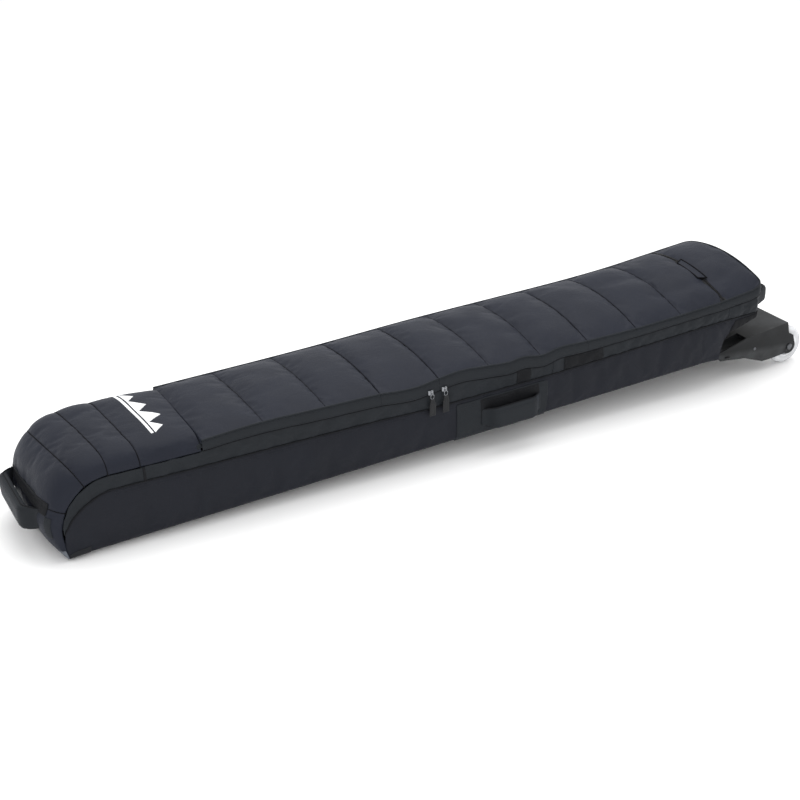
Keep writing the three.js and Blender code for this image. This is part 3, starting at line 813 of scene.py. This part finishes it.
def make_flaps():
    """Piping along the lid's edge, the flap that hangs from it over the zip, and a cord of painted shade
    under the flap's lower edge.
    """
    covers = {f"{side}_{run}": [f"storm_flap_{side}_{leaf}"]
              for side, _ in SIDES for run, leaf in ((1, 1), (3, 2))}
    covers["tail"] = ["storm_flap_front_3", "storm_flap_back_3", "storm_flap_tail"]
    for name, body, path, out in runs_of_edge():
        rim = path + out * 0.0012 - np.array([0, 0, 0.0004])
        piece(f"lid_piping_{name}", *sweep(rim, circle(0.0021)), BAND_CLOTH, body, slot="gusset_fabric",
              subdivide=1)
        v = np.linspace(0, 1, 8)[None, :, None]
        drop = height(FLAP_DROP, path[:, 0])[:, None, None]
        sway = wander(path * np.array([1, 1, 0]), 0.05, 21)[:, None, None]
        stand = 0.0024 + 0.0016 * np.sin(math.pi * v) + (0.0014 + 0.0016 * sway) * v
        fall = 0.002 + (drop - 0.002) * v
        face = path[:, None] + out[:, None] * stand - np.array([0, 0, 1.0]) * fall
        inner = face - out[:, None] * 0.0016
        piece(f"flap_{name}", *slab(face, inner), BAND_CLOTH, body, covers.get(name, ()), "gusset_fabric",
              subdivide=1)
        # a near-black cord of painted shade where the flap's lower edge meets the gusset
        edge_shade = face[:, -1] - out * 0.0010 - np.array([0, 0, 0.0004])
        cord(f"flap_edge_shade_{name}", edge_shade, 0.0012, SEAM_SHADE, body, "gusset_fabric")
        for n, at in ((1, 0.16), (2, 0.86)):
            low, part = divmod(at * 7, 1)
            line = face[:, int(low)] * (1 - part) + face[:, int(low) + 1] * part + out * 0.0002
            sewing(f"flap_stitch_{name}_{n}", line, out, body, "gusset_fabric")


def make_walls(nose, front, back, gusset, tail):
    tub_panel("nose_quilt", nose, 0.009, LID_CLOTH, ["nose_panel"], "lid_fabric", 0.5)
    for n in range(1, len(NOSE_SEAMS) - 1):
        row = n * NOSE_COUNT
        out = normals(nose)[row, 2:-2]
        # a near-black cord of painted shade in the crease of each nose seam
        cord(f"nose_seam_shade_{n}", nose[row], 0.0011, SEAM_SHADE, "tub", "lid_fabric")
        sewing(f"nose_stitch_{n}", nose[row + 1, 2:-2] + out * 0.0002, out, "tub", "lid_fabric")
    tub_panel("side_wall_front", front, 0.005, SIDE_CLOTH, ["side_panel_front"], "side_fabric", 0.4)
    tub_panel("side_wall_back", back, 0.005, SIDE_CLOTH, ["side_panel_back"], "side_fabric", 0.4, flip=-1)
    tub_panel("gusset_band", gusset, 0.0025, BAND_CLOTH, ["gusset_front", "gusset_back", "gusset_tail"],
              "gusset_fabric", 0.2)
    # the tail's wall gets the darker cloth as painted shade under the lid's overhang
    tub_panel("tail_wall", tail, 0.004, DARK_CLOTH, ["tail_panel"], "side_fabric", 0.3)
    for side, grid, sign in (("front", front, -1), ("back", back, 1)):
        out = np.array([0, sign, 0])
        cord(f"long_seam_{side}", grid[:, -1] + out * 0.0008, 0.0016, DARK_CLOTH, "tub", "side_fabric")
        for n, column in ((1, -2), (2, -3)):
            line = grid[NOSE_STEPS:, column] + out * 0.0004
            sewing(f"long_stitch_{side}_{n}", line[::3], out, "tub", "side_fabric")


def make_bottom():
    x, v = np.meshgrid(np.linspace(0.006, TAIL_FOOT, 120), np.linspace(-1, 1, 24), indexing="ij")
    grid = np.stack([x, v * (HALF - 0.012), 0 * x], -1)
    z = 0.0018 + 0.0012 * wander(grid, 0.12, 5) * (1 - v ** 4)
    under, over = grid.copy(), grid.copy()
    under[..., 2] = z - 0.001
    over[..., 2] = z + 0.003
    piece("bottom_sheet", *slab(under, over), BASE_CLOTH, "tub", ["bottom_panel"], "base_tarpaulin",
          subdivide=1)
    x, v = np.meshgrid(np.linspace(0.018, TAIL_FOOT - 0.016, 100), across(30), indexing="ij")
    pad_low, pad_high = bag_box("floor_pad")
    top = np.stack([x, v * (HALF - 0.012), 0 * x + pad_high[2] - 0.0012 - 0.002 * v ** 8], -1)
    top[..., 2] += 0.0006 * wander(top, 0.05, 9)
    low = top.copy()
    low[..., 2] = max(pad_low[2], 0.0052)
    piece("floor_mat", *slab(top, low), LINING, "tub", ["floor_pad"], "floor_foam", subdivide=1, fill=0.9)


# ------------------------------------------------------------------ bands, handles, patches and the mark
def on_sheet(grid, x, y):
    """A point of a sheet that runs along X, and its outward direction, at places seen from above."""
    middle = grid.shape[1] // 2
    i = np.interp(x, grid[:, middle, 0], range(len(grid)))
    j = np.interp(y, grid[int(round(i)), :, 1], range(grid.shape[1]))
    return sample(grid, i, j)


def sample(grid, i, j):
    a, b = min(int(i), grid.shape[0] - 2), min(int(j), grid.shape[1] - 2)
    p, q = i - a, j - b
    return (grid[a, b] * (1 - p) * (1 - q) + grid[a + 1, b] * p * (1 - q)
            + grid[a, b + 1] * (1 - p) * q + grid[a + 1, b + 1] * p * q)


def patch(name, grid, rows, columns, lift, thick, paint, slot, facing, sewn=True):
    """A flat patch on a sheet of the tub, between two rows and two columns of its grid."""
    count = max(6, int(abs(rows[1] - rows[0]) * 1.5))
    base = np.array([[sample(grid, i, j) for j in np.linspace(*columns, 10)]
                     for i in np.linspace(*rows, count)])
    out = normals(base)
    out = out * np.sign(np.sum(out * np.asarray(facing, float), axis=-1, keepdims=True))
    face = base + out * (lift + thick)
    piece(name, *slab(face, base + out * (lift - 0.001)), paint, "tub", slot=slot, subdivide=1)
    if sewn:
        ring, outward = (np.concatenate([g[1:-1, 1], g[-2, 1:-1], g[-2:0:-1, -2], g[1, -2:0:-1]])
                         for g in (face, out))
        sewing(name + "_stitch", ring, outward, "tub", slot)


def rows_between(line, low, high):
    """The rows, counted in parts, where a line of x values passes low and high."""
    return np.interp([low, high], line, range(len(line)))


BAND, SHADE_BEHIND_HANDLE = (0.892, 1.133), (0.952, 1.110)      # the carry band, and a dark patch of painted shade behind its handle


def make_band(front, back):
    for side, grid, sign in (("front", front, -1), ("back", back, 1)):
        seam = grid[:, -1, 0]
        patch(f"carry_band_{side}", grid, rows_between(seam, *BAND), (0.2, 19.4), 0.0006, 0.0015, BAND_CLOTH,
              "webbing", (0, sign, 0))
        # dark cloth as painted shade on the wall behind the side handle
        patch(f"handle_backing_{side}", grid, rows_between(seam, *SHADE_BEHIND_HANDLE), (9.5, 18.8), 0.0019, 0.0008,
              DARK_CLOTH, "webbing", (0, sign, 0))
    x, v = np.meshgrid(np.linspace(*BAND, 20), np.linspace(-1, 1, 20), indexing="ij")
    strip = np.stack([x, v * (HALF - 0.011), 0 * x + 0.0004], -1)
    piece("carry_band_under", *slab(strip, strip + np.array([0, 0, 0.0016])), BAND_CLOTH, "tub",
          ["carry_band"], "webbing")


def grab(name, foot, along, out, size, body):
    """A padded grab handle: a soft bar sewn down at both ends, with piped edges. It rises from the wall;
    piece() puts it, its stitches and its piping on no body."""
    length, tall, rise, thick = size
    body = ("tub", body, foot + out * 0.002, foot + out * (rise * 0.8))
    up = np.cross(out, along)
    up = up * np.sign(up[2])
    s = np.linspace(-length / 2, length / 2, 41)
    near = np.clip((length / 2 - np.abs(s)) / 0.034, 0, 1)
    lift = 0.0032 + (rise + thick / 2 - 0.0032) * smooth(0, 1, near)
    half_tall = tall / 2 * (0.80 + 0.20 * smooth(0, 1.0, near))
    half_thick = 0.0022 + (thick / 2 + 0.001) * smooth(0.35, 1, near)
    turn = np.linspace(0, 2 * math.pi, 24, endpoint=False)
    d = np.sign(np.cos(turn)) * np.abs(np.cos(turn)) ** 0.7
    h = np.sign(np.sin(turn)) * np.abs(np.sin(turn)) ** 0.55
    slope = np.arctan2(np.gradient(lift), np.gradient(s))
    ds = -np.sin(slope)[:, None] * d * half_thick[:, None]
    dd = np.cos(slope)[:, None] * d * half_thick[:, None]
    ring = (foot + (s[:, None] + ds)[..., None] * along + (lift[:, None] + dd)[..., None] * out
            + (h * half_tall[:, None])[..., None] * up)
    piece(name, ring.reshape(-1, 3), tube_faces(*ring.shape[:2], closed=False), BAND_CLOTH, body,
          [name.replace("_grab", "")], "webbing", subdivide=1, fill=0.7)
    for n, level in ((1, 0.74), (2, -0.74)):
        column = int(np.argmin(np.abs(h - level) + (d < 0)))
        line = ring[4:-4, column] + out * 0.0003
        sewing(f"{name}_stitch_{n}", line, out, body, "webbing")
        edge = ring[2:-2, int(np.argmax(h * np.sign(level)))]
        cord(f"{name}_piping_{n}", edge, 0.0018, DARK_CLOTH, body, "webbing", subdivide=1)


def make_handles():
    x_axis, y_axis = np.array([1.0, 0, 0]), np.array([0, 1.0, 0])
    for side, sign in SIDES:
        foot = bag_point(f"side_handle_{side}_swing") + np.array([0, sign * 0.001, -0.005])
        grab(f"side_handle_{side}_grab", foot, x_axis, sign * y_axis, (0.158, 0.050, 0.018, 0.010),
             f"handle_{side}")
    nose = bag_point("nose_handle_swing") + np.array([-0.016, 0.004, 0])
    grab("nose_handle_grab", nose, y_axis, -x_axis, (0.205, 0.054, 0.022, 0.016), "handle_nose")
    tail = bag_point("tail_handle_swing") + np.array([0.001, 0, 0.002])
    grab("tail_handle_grab", tail, y_axis, x_axis, (0.246, 0.040, 0.044, 0.012), "handle_tail")


# Patches on the gusset: where each starts and stops along the bag, and its cloth.
GUSSET_PATCHES = ((1.18, 1.29, DARK_CLOTH), (1.148, 1.176, BAND_CLOTH), (1.662, 1.708, BAND_CLOTH),
                  (1.052, 1.090, DARK_CLOTH))
GUSSET_JOIN = 0.180                                 # the gusset's upright join near the nose


def make_patches(nose, front, back, gusset):
    plan_x = gusset[:, 5, 0]
    half = len(gusset) // 2
    last = len(gusset) - 1
    for side, sign, grid, line in (("front", -1, front, plan_x[:half]),
                                   ("back", 1, back, plan_x[half:][::-1])):
        facing = (0, sign, 0)

        def gusset_rows(low, high):
            rows = rows_between(line, low, high)
            return rows if sign < 0 else last - rows

        for n, (low, high, paint) in enumerate(GUSSET_PATCHES):
            patch(f"gusset_patch_{side}_{n + 1}", gusset, gusset_rows(low, high), (0.6, 8.6), 0.0004, 0.0008,
                  paint, "gusset_fabric", facing)
        join = gusset_rows(GUSSET_JOIN, GUSSET_JOIN)[0]
        patch(f"gusset_join_{side}", gusset, (join - 0.35, join + 0.35), (0.2, 9.8), 0.0002, 0.0009,
              DARK_CLOTH, "gusset_fabric", facing, sewn=False)
        patch(f"toe_corner_{side}", grid, (1, 9), (0.5, 4.5), 0.0004, 0.001, BASE_CLOTH, "base_tarpaulin",
              facing, sewn=False)
        patch(f"toe_pale_{side}", nose, (0.4, 4.5), (0.4, 8) if sign < 0 else (45, 52.6), 0.0005, 0.001,
              PALE_CLOTH, "base_tarpaulin", (-1, 0, 0), sewn=False)
        # a dark patch of painted shade on the side wall, in the recess under the lid's overhang at the tail
        recess_shade_rows = rows_between(grid[:, -1, 0], 1.690, LID_END - 0.003)
        patch(f"tail_gore_{side}", grid, recess_shade_rows, (0.4, 17.5), 0.0004, 0.0008, DARK_CLOTH, "side_fabric",
              facing, sewn=False)
    patch("nose_handle_base", nose, (12, 20), (8, 46), 0.0006, 0.0014, DARK_CLOTH, "webbing", (-1, 0, 0))
    patch("nose_tab", nose, (7, 12), (5, 9), 0.0004, 0.001, BAND_CLOTH, "gusset_fabric", (-1, 0, 0))


def make_mark(nose):
    """A made-up white mark on the nose: a row of four peaks over a bar."""
    low, high = bag_box("nose_patch")
    base = low[0] + 0.010
    peaks = [(0.00, 0.22, 0.026), (0.19, 0.50, 0.040), (0.46, 0.76, 0.030), (0.73, 1.00, 0.022)]
    width = high[1] - low[1]
    shapes = []
    for start, stop, tall in peaks:
        y0, y1 = low[1] + start * width, low[1] + stop * width
        shapes.append([(base, y0), (base + tall, (y0 + y1) / 2), (base, y1)])
    shapes.append([(low[0], low[1]), (low[0] + 0.006, low[1]), (low[0] + 0.006, high[1]), (low[0], high[1])])
    parts = []
    for shape in shapes:
        ring = []
        for (xa, ya), (xb, yb) in zip(shape, shape[1:] + shape[:1]):
            for t in np.linspace(0, 1, 7)[:-1]:
                ring.append((xa + (xb - xa) * t, ya + (yb - ya) * t))
        centre = np.mean(shape, axis=0)
        rings = [[centre + (np.array(p) - centre) * k for p in ring] for k in (1, 0.66, 0.33)]
        top = [on_sheet(nose, *p) + np.array([0, 0, 0.0012]) for r in rings for p in r]
        top.append(on_sheet(nose, *centre) + np.array([0, 0, 0.0012]))
        under = [p - np.array([0, 0, 0.0022]) for p in top[:len(ring)]]
        n = len(ring)
        faces = []
        for k in range(n):
            m = (k + 1) % n
            faces += [(k, m, n + m, n + k), (n + k, n + m, 2 * n + m, 2 * n + k)]
            faces += [(2 * n + k, 2 * n + m, 3 * n), (m, k, 3 * n + 1 + k, 3 * n + 1 + m)]
        faces.append(tuple(range(3 * n + 1, 4 * n + 1))[::-1])
        parts.append((top + under, faces))
    piece("nose_mark", *joined(parts), PRINT, "tub", ["nose_patch"], "printed_mark", crisp=40)


# ------------------------------------------------------------------ zips
def teeth(path, out, pitch=0.0026):
    """A coil zip's teeth along a path: short rounded bars that lie across it."""
    path = np.asarray(path, float)
    run = np.concatenate([[0], np.cumsum(np.linalg.norm(np.diff(path, axis=0), axis=1))])
    ahead = np.gradient(path, axis=0)
    ahead /= np.linalg.norm(ahead, axis=1, keepdims=True)
    parts = []
    for at in np.arange(pitch, run[-1] - pitch, pitch):
        middle = np.array([np.interp(at, run, path[:, k]) for k in range(3)])
        forward = np.array([np.interp(at, run, ahead[:, k]) for k in range(3)])
        normal = np.broadcast_to(out, path.shape)[int(np.searchsorted(run, at)) - 1]
        side = np.cross(forward, normal) * 0.0030
        parts.append(box(middle, side, forward * 0.0008, normal * 0.0012))
    return joined(parts)


def make_main_zip(gusset):
    """The main zip's lower half, on the gusset's top edge."""
    start = NOSE_STEPS + 26                         # a row just past the lid's first seam
    edge = gusset[start:-start, -1]
    inner = edge - np.sign(edge[:, 1:2]) * np.array([[0, 0.0015, 0]])
    v = np.linspace(-0.004, 0.006, 5)[None, :, None]
    face = inner[:, None] + v * np.array([0, 0, 1.0])
    side = np.sign(edge[:, 1])[:, None, None] * np.array([0, 0.0012, 0])
    piece("main_zip_tape", *slab(face, face - side), TAPE, "tub",
          ["zip_tape_front", "zip_tape_back", "zip_tape_tail"], "zip_tape")
    piece("main_zip_teeth", *teeth(inner[::2] + np.array([0, 0, 0.0065]), (0, 0, 1.0)), COIL, "tub",
          slot="zip_tape")


def make_pocket_zip(lid):
    """The pocket's zip, across the lid."""
    line = lid[lid_row(POCKET_SEAM), 1:-1] + np.array([0, 0, 0.0006])
    spread = np.linspace(-0.008, 0.008, 7)[:, None, None] * np.array([1.0, 0, 0])
    tape = line[None] + spread
    piece("pocket_tape", *slab(tape + np.array([0, 0, 0.0016]), tape), TAPE, LEAVES[2], ["pocket_zip_tape"],
          "zip_tape")
    piece("pocket_teeth", *teeth(line[::2] + np.array([0, 0, 0.0022]), (0, 0, 1.0)), COIL, LEAVES[2],
          slot="zip_tape")


def make_hood():
    """The small tapered hood over one end of the pocket's zip, with a cord of painted shade round its edge.
    """
    hood = np.array([[-0.012, -0.058], [0.008, -0.068], [0.008, 0.032], [-0.012, 0.022]])
    u = np.linspace(0, 1, 9)
    grid = np.array([[(hood[0] * (1 - a) + hood[1] * a) * (1 - b) + (hood[3] * (1 - a) + hood[2] * a) * b
                      for b in u] for a in u[::2]])
    x, y = POCKET_SEAM - 0.002 + grid[..., 0], grid[..., 1]
    top = np.stack([x, y, lid_z(x, y) + 0.0062], -1)
    piece("zip_hood", *slab(top, top - np.array([0, 0, 0.0018])), LID_CLOTH, LEAVES[2], ["pocket_zip_hood"],
          "gusset_fabric", subdivide=1)
    # a near-black cord of painted shade round the hood's raised edge
    rim = np.concatenate([top[0], top[1:, -1], top[-1, -2::-1], top[-2:0:-1, 0]])
    piece("zip_hood_edge_shade", *sweep(rim, circle(0.0016, 6), closed=True), SEAM_SHADE, LEAVES[2],
          slot="gusset_fabric")


def make_pulls():
    """Each main slider's body and bridge, and the webbing tab that hangs from it."""
    for n in (1, 2):
        refined(f"zip_slider_{n}", NICKEL, 0.0009)
        axis = bag_point(f"zip_pull_swing_{n}")
        turn = np.linspace(-0.5 * math.pi, 0.5 * math.pi, 9)
        bridge = [axis + np.array([0, 0.004 - 0.0055 * math.cos(a), 0.006 + 0.006 * math.sin(a)])
                  for a in turn]
        piece(f"slider_bridge_{n}", *sweep(bridge, circle(0.0011, 8)), NICKEL, f"slider_{n}",
              slot="zip_metal", subdivide=1)
        loop = [axis + np.array([0.0042 * math.cos(a), 0, -0.003 + 0.006 * math.sin(a)])
                for a in np.linspace(0, 2 * math.pi, 20, endpoint=False)]
        piece(f"pull_ring_{n}", *sweep(loop, circle(0.0009, 8), closed=True), NICKEL, f"pull_{n}",
              slot="zip_metal", subdivide=1)
        t = np.linspace(0, 1, 14)[:, None]
        v = np.linspace(-1, 1, 5)[None]
        x = axis[0] + 0.0078 * v * (0.72 + 0.34 * smooth(0.15, 0.35, t)) + 0 * t
        z = axis[2] - 0.008 - 0.042 * t + 0 * v
        y = axis[1] - 0.0012 * np.sin(3 * t + n) + 0 * v
        tab = np.stack([x, y, z], -1)
        half_thick = np.array([0, 0.0014, 0])
        piece(f"pull_tab_{n}", *slab(tab - half_thick, tab + half_thick), WEBBING, f"pull_{n}",
              [f"zip_pull_{n}"], "webbing", subdivide=1)
        ring = tab[[2, 12, 12, 2, 2], [1, 1, 3, 3, 1]] + np.array([0, -0.0018, 0])
        piece(f"pull_stitch_{n}", *stitches(ring, (0, -1, 0), pitch=0.003, length=0.002), THREAD,
              f"pull_{n}", slot="webbing")


# ------------------------------------------------------------------ hard parts
def refined(node, paint, width, drop=0.0):
    """A CAD piece with its edges rounded over, in place of the plain one."""
    source = frame["nodes"][node]
    mesh = source.data.copy()
    mesh.name = node + "_fine"
    form = bmesh.new()
    form.from_mesh(mesh)
    bmesh.ops.remove_doubles(form, verts=form.verts, dist=1e-5)
    bmesh.ops.dissolve_limit(form, angle_limit=math.radians(2), verts=form.verts, edges=form.edges)
    bmesh.ops.translate(form, verts=form.verts, vec=(0, 0, -drop))
    form.to_mesh(mesh)
    form.free()
    mesh.materials.clear()
    mesh.materials.append(paint)
    thing = bpy.data.objects.new(node + "_fine", mesh)
    bpy.context.scene.collection.objects.link(thing)
    bevel = thing.modifiers.new("edges", "BEVEL")
    bevel.width = width
    bevel.segments = 2
    bevel.limit_method = "ANGLE"
    bevel.angle_limit = math.radians(18)
    bevel.harden_normals = True
    mesh.polygons.foreach_set("use_smooth", [True] * len(mesh.polygons))
    mesh.set_sharp_from_angle(angle=math.radians(30))
    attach(thing, frame["nodes"][node]["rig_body"])
    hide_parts(node)


def dress(paint, *names):
    """A CAD piece that stays gets its finish."""
    for name in names:
        slots = frame["nodes"][name].data.materials
        slots.clear()
        slots.append(paint)


def turned(profile, centre, sides=72):
    """A closed ring turned about Y: the (radius, y) profile is a closed loop."""
    turn = np.linspace(0, 2 * math.pi, sides, endpoint=False)
    profile = np.asarray(profile, float)
    ring = np.stack([np.cos(turn)[:, None] * profile[None, :, 0], 0 * turn[:, None] + profile[None, :, 1],
                     np.sin(turn)[:, None] * profile[None, :, 0]], -1) + centre
    return ring.reshape(-1, 3), tube_faces(sides, len(profile), closed=True)


def wheel_size(node):
    """Centre of a round CAD node turned about Y, its radius, and half its width."""
    low, high = bag_box(node)
    return (low + high) / 2, (high[0] - low[0]) / 2, (high[1] - low[1]) / 2


def tyre_profile(radius, half, core):
    """Round tread, and flat flanks that step in to the core."""
    bulge, reach = 0.014, 1.15
    tread = [(radius - bulge + bulge * math.cos(a), (half - 0.0005) * math.sin(a) / math.sin(reach))
             for a in np.linspace(-reach, reach, 15)]
    flank = [(radius - 0.013, half - 0.0015), (core + 0.0003, half - 0.004)]
    return tread + flank + [(r, -y) for r, y in reversed(flank)]


def core_profile(core, half, bore):
    """A rim and a hub as wide as the wheel's core, with a thin web between them."""
    web = 0.004
    one_side = [(core, half), (core - 0.004, half), (core - 0.0045, web), (bore + 0.006, web),
                (bore + 0.005, half), (bore + 0.0002, half)]
    return [(core, -half)] + one_side + [(r, -y) for r, y in reversed(one_side[1:])]


def make_wheels():
    """Each wheel: a soft milky tyre with a rounded tread, and a paler core with ribs from rim to hub."""
    for side, _ in SIDES:
        centre, radius, half = wheel_size(f"wheel_tyre_{side}")
        _, core, hub_half = wheel_size(f"wheel_hub_{side}")
        _, bore, _ = wheel_size(f"bearing_outer_{side}")
        piece(f"tyre_{side}", *turned(tyre_profile(radius, half, core), centre), URETHANE, f"wheel_{side}",
              [f"wheel_tyre_{side}"], "wheel_urethane", crisp=50)
        parts = [turned(core_profile(core, hub_half, bore), centre)]
        inner, outer = bore + 0.004, core - 0.003
        for angle in np.arange(6) * math.pi / 3:
            spoke = np.array([math.cos(angle), 0, math.sin(angle)])
            flank = np.array([-math.sin(angle), 0, math.cos(angle)]) * 0.0016
            deep = np.array([0, hub_half - 0.002, 0])
            middle = centre + spoke * (inner + outer) / 2
            parts.append(box(middle, spoke * (outer - inner) / 2, flank, deep))
        piece(f"core_{side}", *joined(parts), CORE, f"wheel_{side}", [f"wheel_hub_{side}"], "wheel_core",
              crisp=40)


def disc(centre, radius, depth, sign, sides=20):
    """A low round head with a rounded rim, that faces out from the side."""
    profile = [(0.0001, -depth), (radius, -depth), (radius, depth * 0.3), (radius * 0.8, depth * 0.85),
               (0.0001, depth)]
    profile = [(r, sign * y) for r, y in profile]
    return turned(profile, np.asarray(centre), sides)


def hard_parts():
    refined("wheel_chassis", NYLON, 0.0010)
    refined("tail_plate", NYLON, 0.0005)
    for n in (1, 2):
        refined(f"buckle_socket_{n}", NYLON, 0.001)
        refined(f"buckle_clip_{n}", NYLON, 0.001)
        refined(f"ski_strap_{n}", WEBBING, 0.0004)
    dress(STEEL, *[f"chassis_screw_{n}" for n in (1, 2, 3, 4)])
    cheek = bag_box("wheel_chassis")[1][1]
    for side, sign in SIDES:
        for name in ("axle_bolt", "axle_nut", "bearing_outer", "bearing_inner"):
            dress(STEEL, f"{name}_{side}")
        slot_path = [(x, sign * cheek, z) for x, z in ((1.676, -0.004), (1.684, -0.005), (1.690, -0.006))]
        piece(f"chassis_slot_{side}", *sweep(slot_path, circle(0.0036, 10, flat=0.6)), COIL, "tub",
              slot="moulded_plastic")
        rivet = disc((1.772, sign * cheek, -0.004), 0.0042, 0.0016, sign)
        piece(f"chassis_rivet_{side}", *rivet, STEEL, "tub", slot="steel", crisp=40)
    refined("pocket_slider", NICKEL, 0.0008, drop=0.0035)


# ------------------------------------------------------------------ build
camera()
studio()
cloth = [lid_sheet(), nose_sheet(), side_sheet(-1, 31), side_sheet(1, 47), gusset_sheet(), tail_sheet()]
settle(cloth)
LID, NOSE, FRONT, BACK, GUSSET, TAIL = [sheet["grid"] for sheet in cloth]
make_lid(LID)
make_hinge(NOSE, LID)
make_flaps()
make_walls(NOSE, FRONT, BACK, GUSSET, TAIL)
make_bottom()
make_band(FRONT, BACK)
make_handles()
make_patches(NOSE, FRONT, BACK, GUSSET)
make_mark(NOSE)
make_main_zip(GUSSET)
make_pocket_zip(LID)
make_hood()
make_pulls()
make_wheels()
hard_parts()
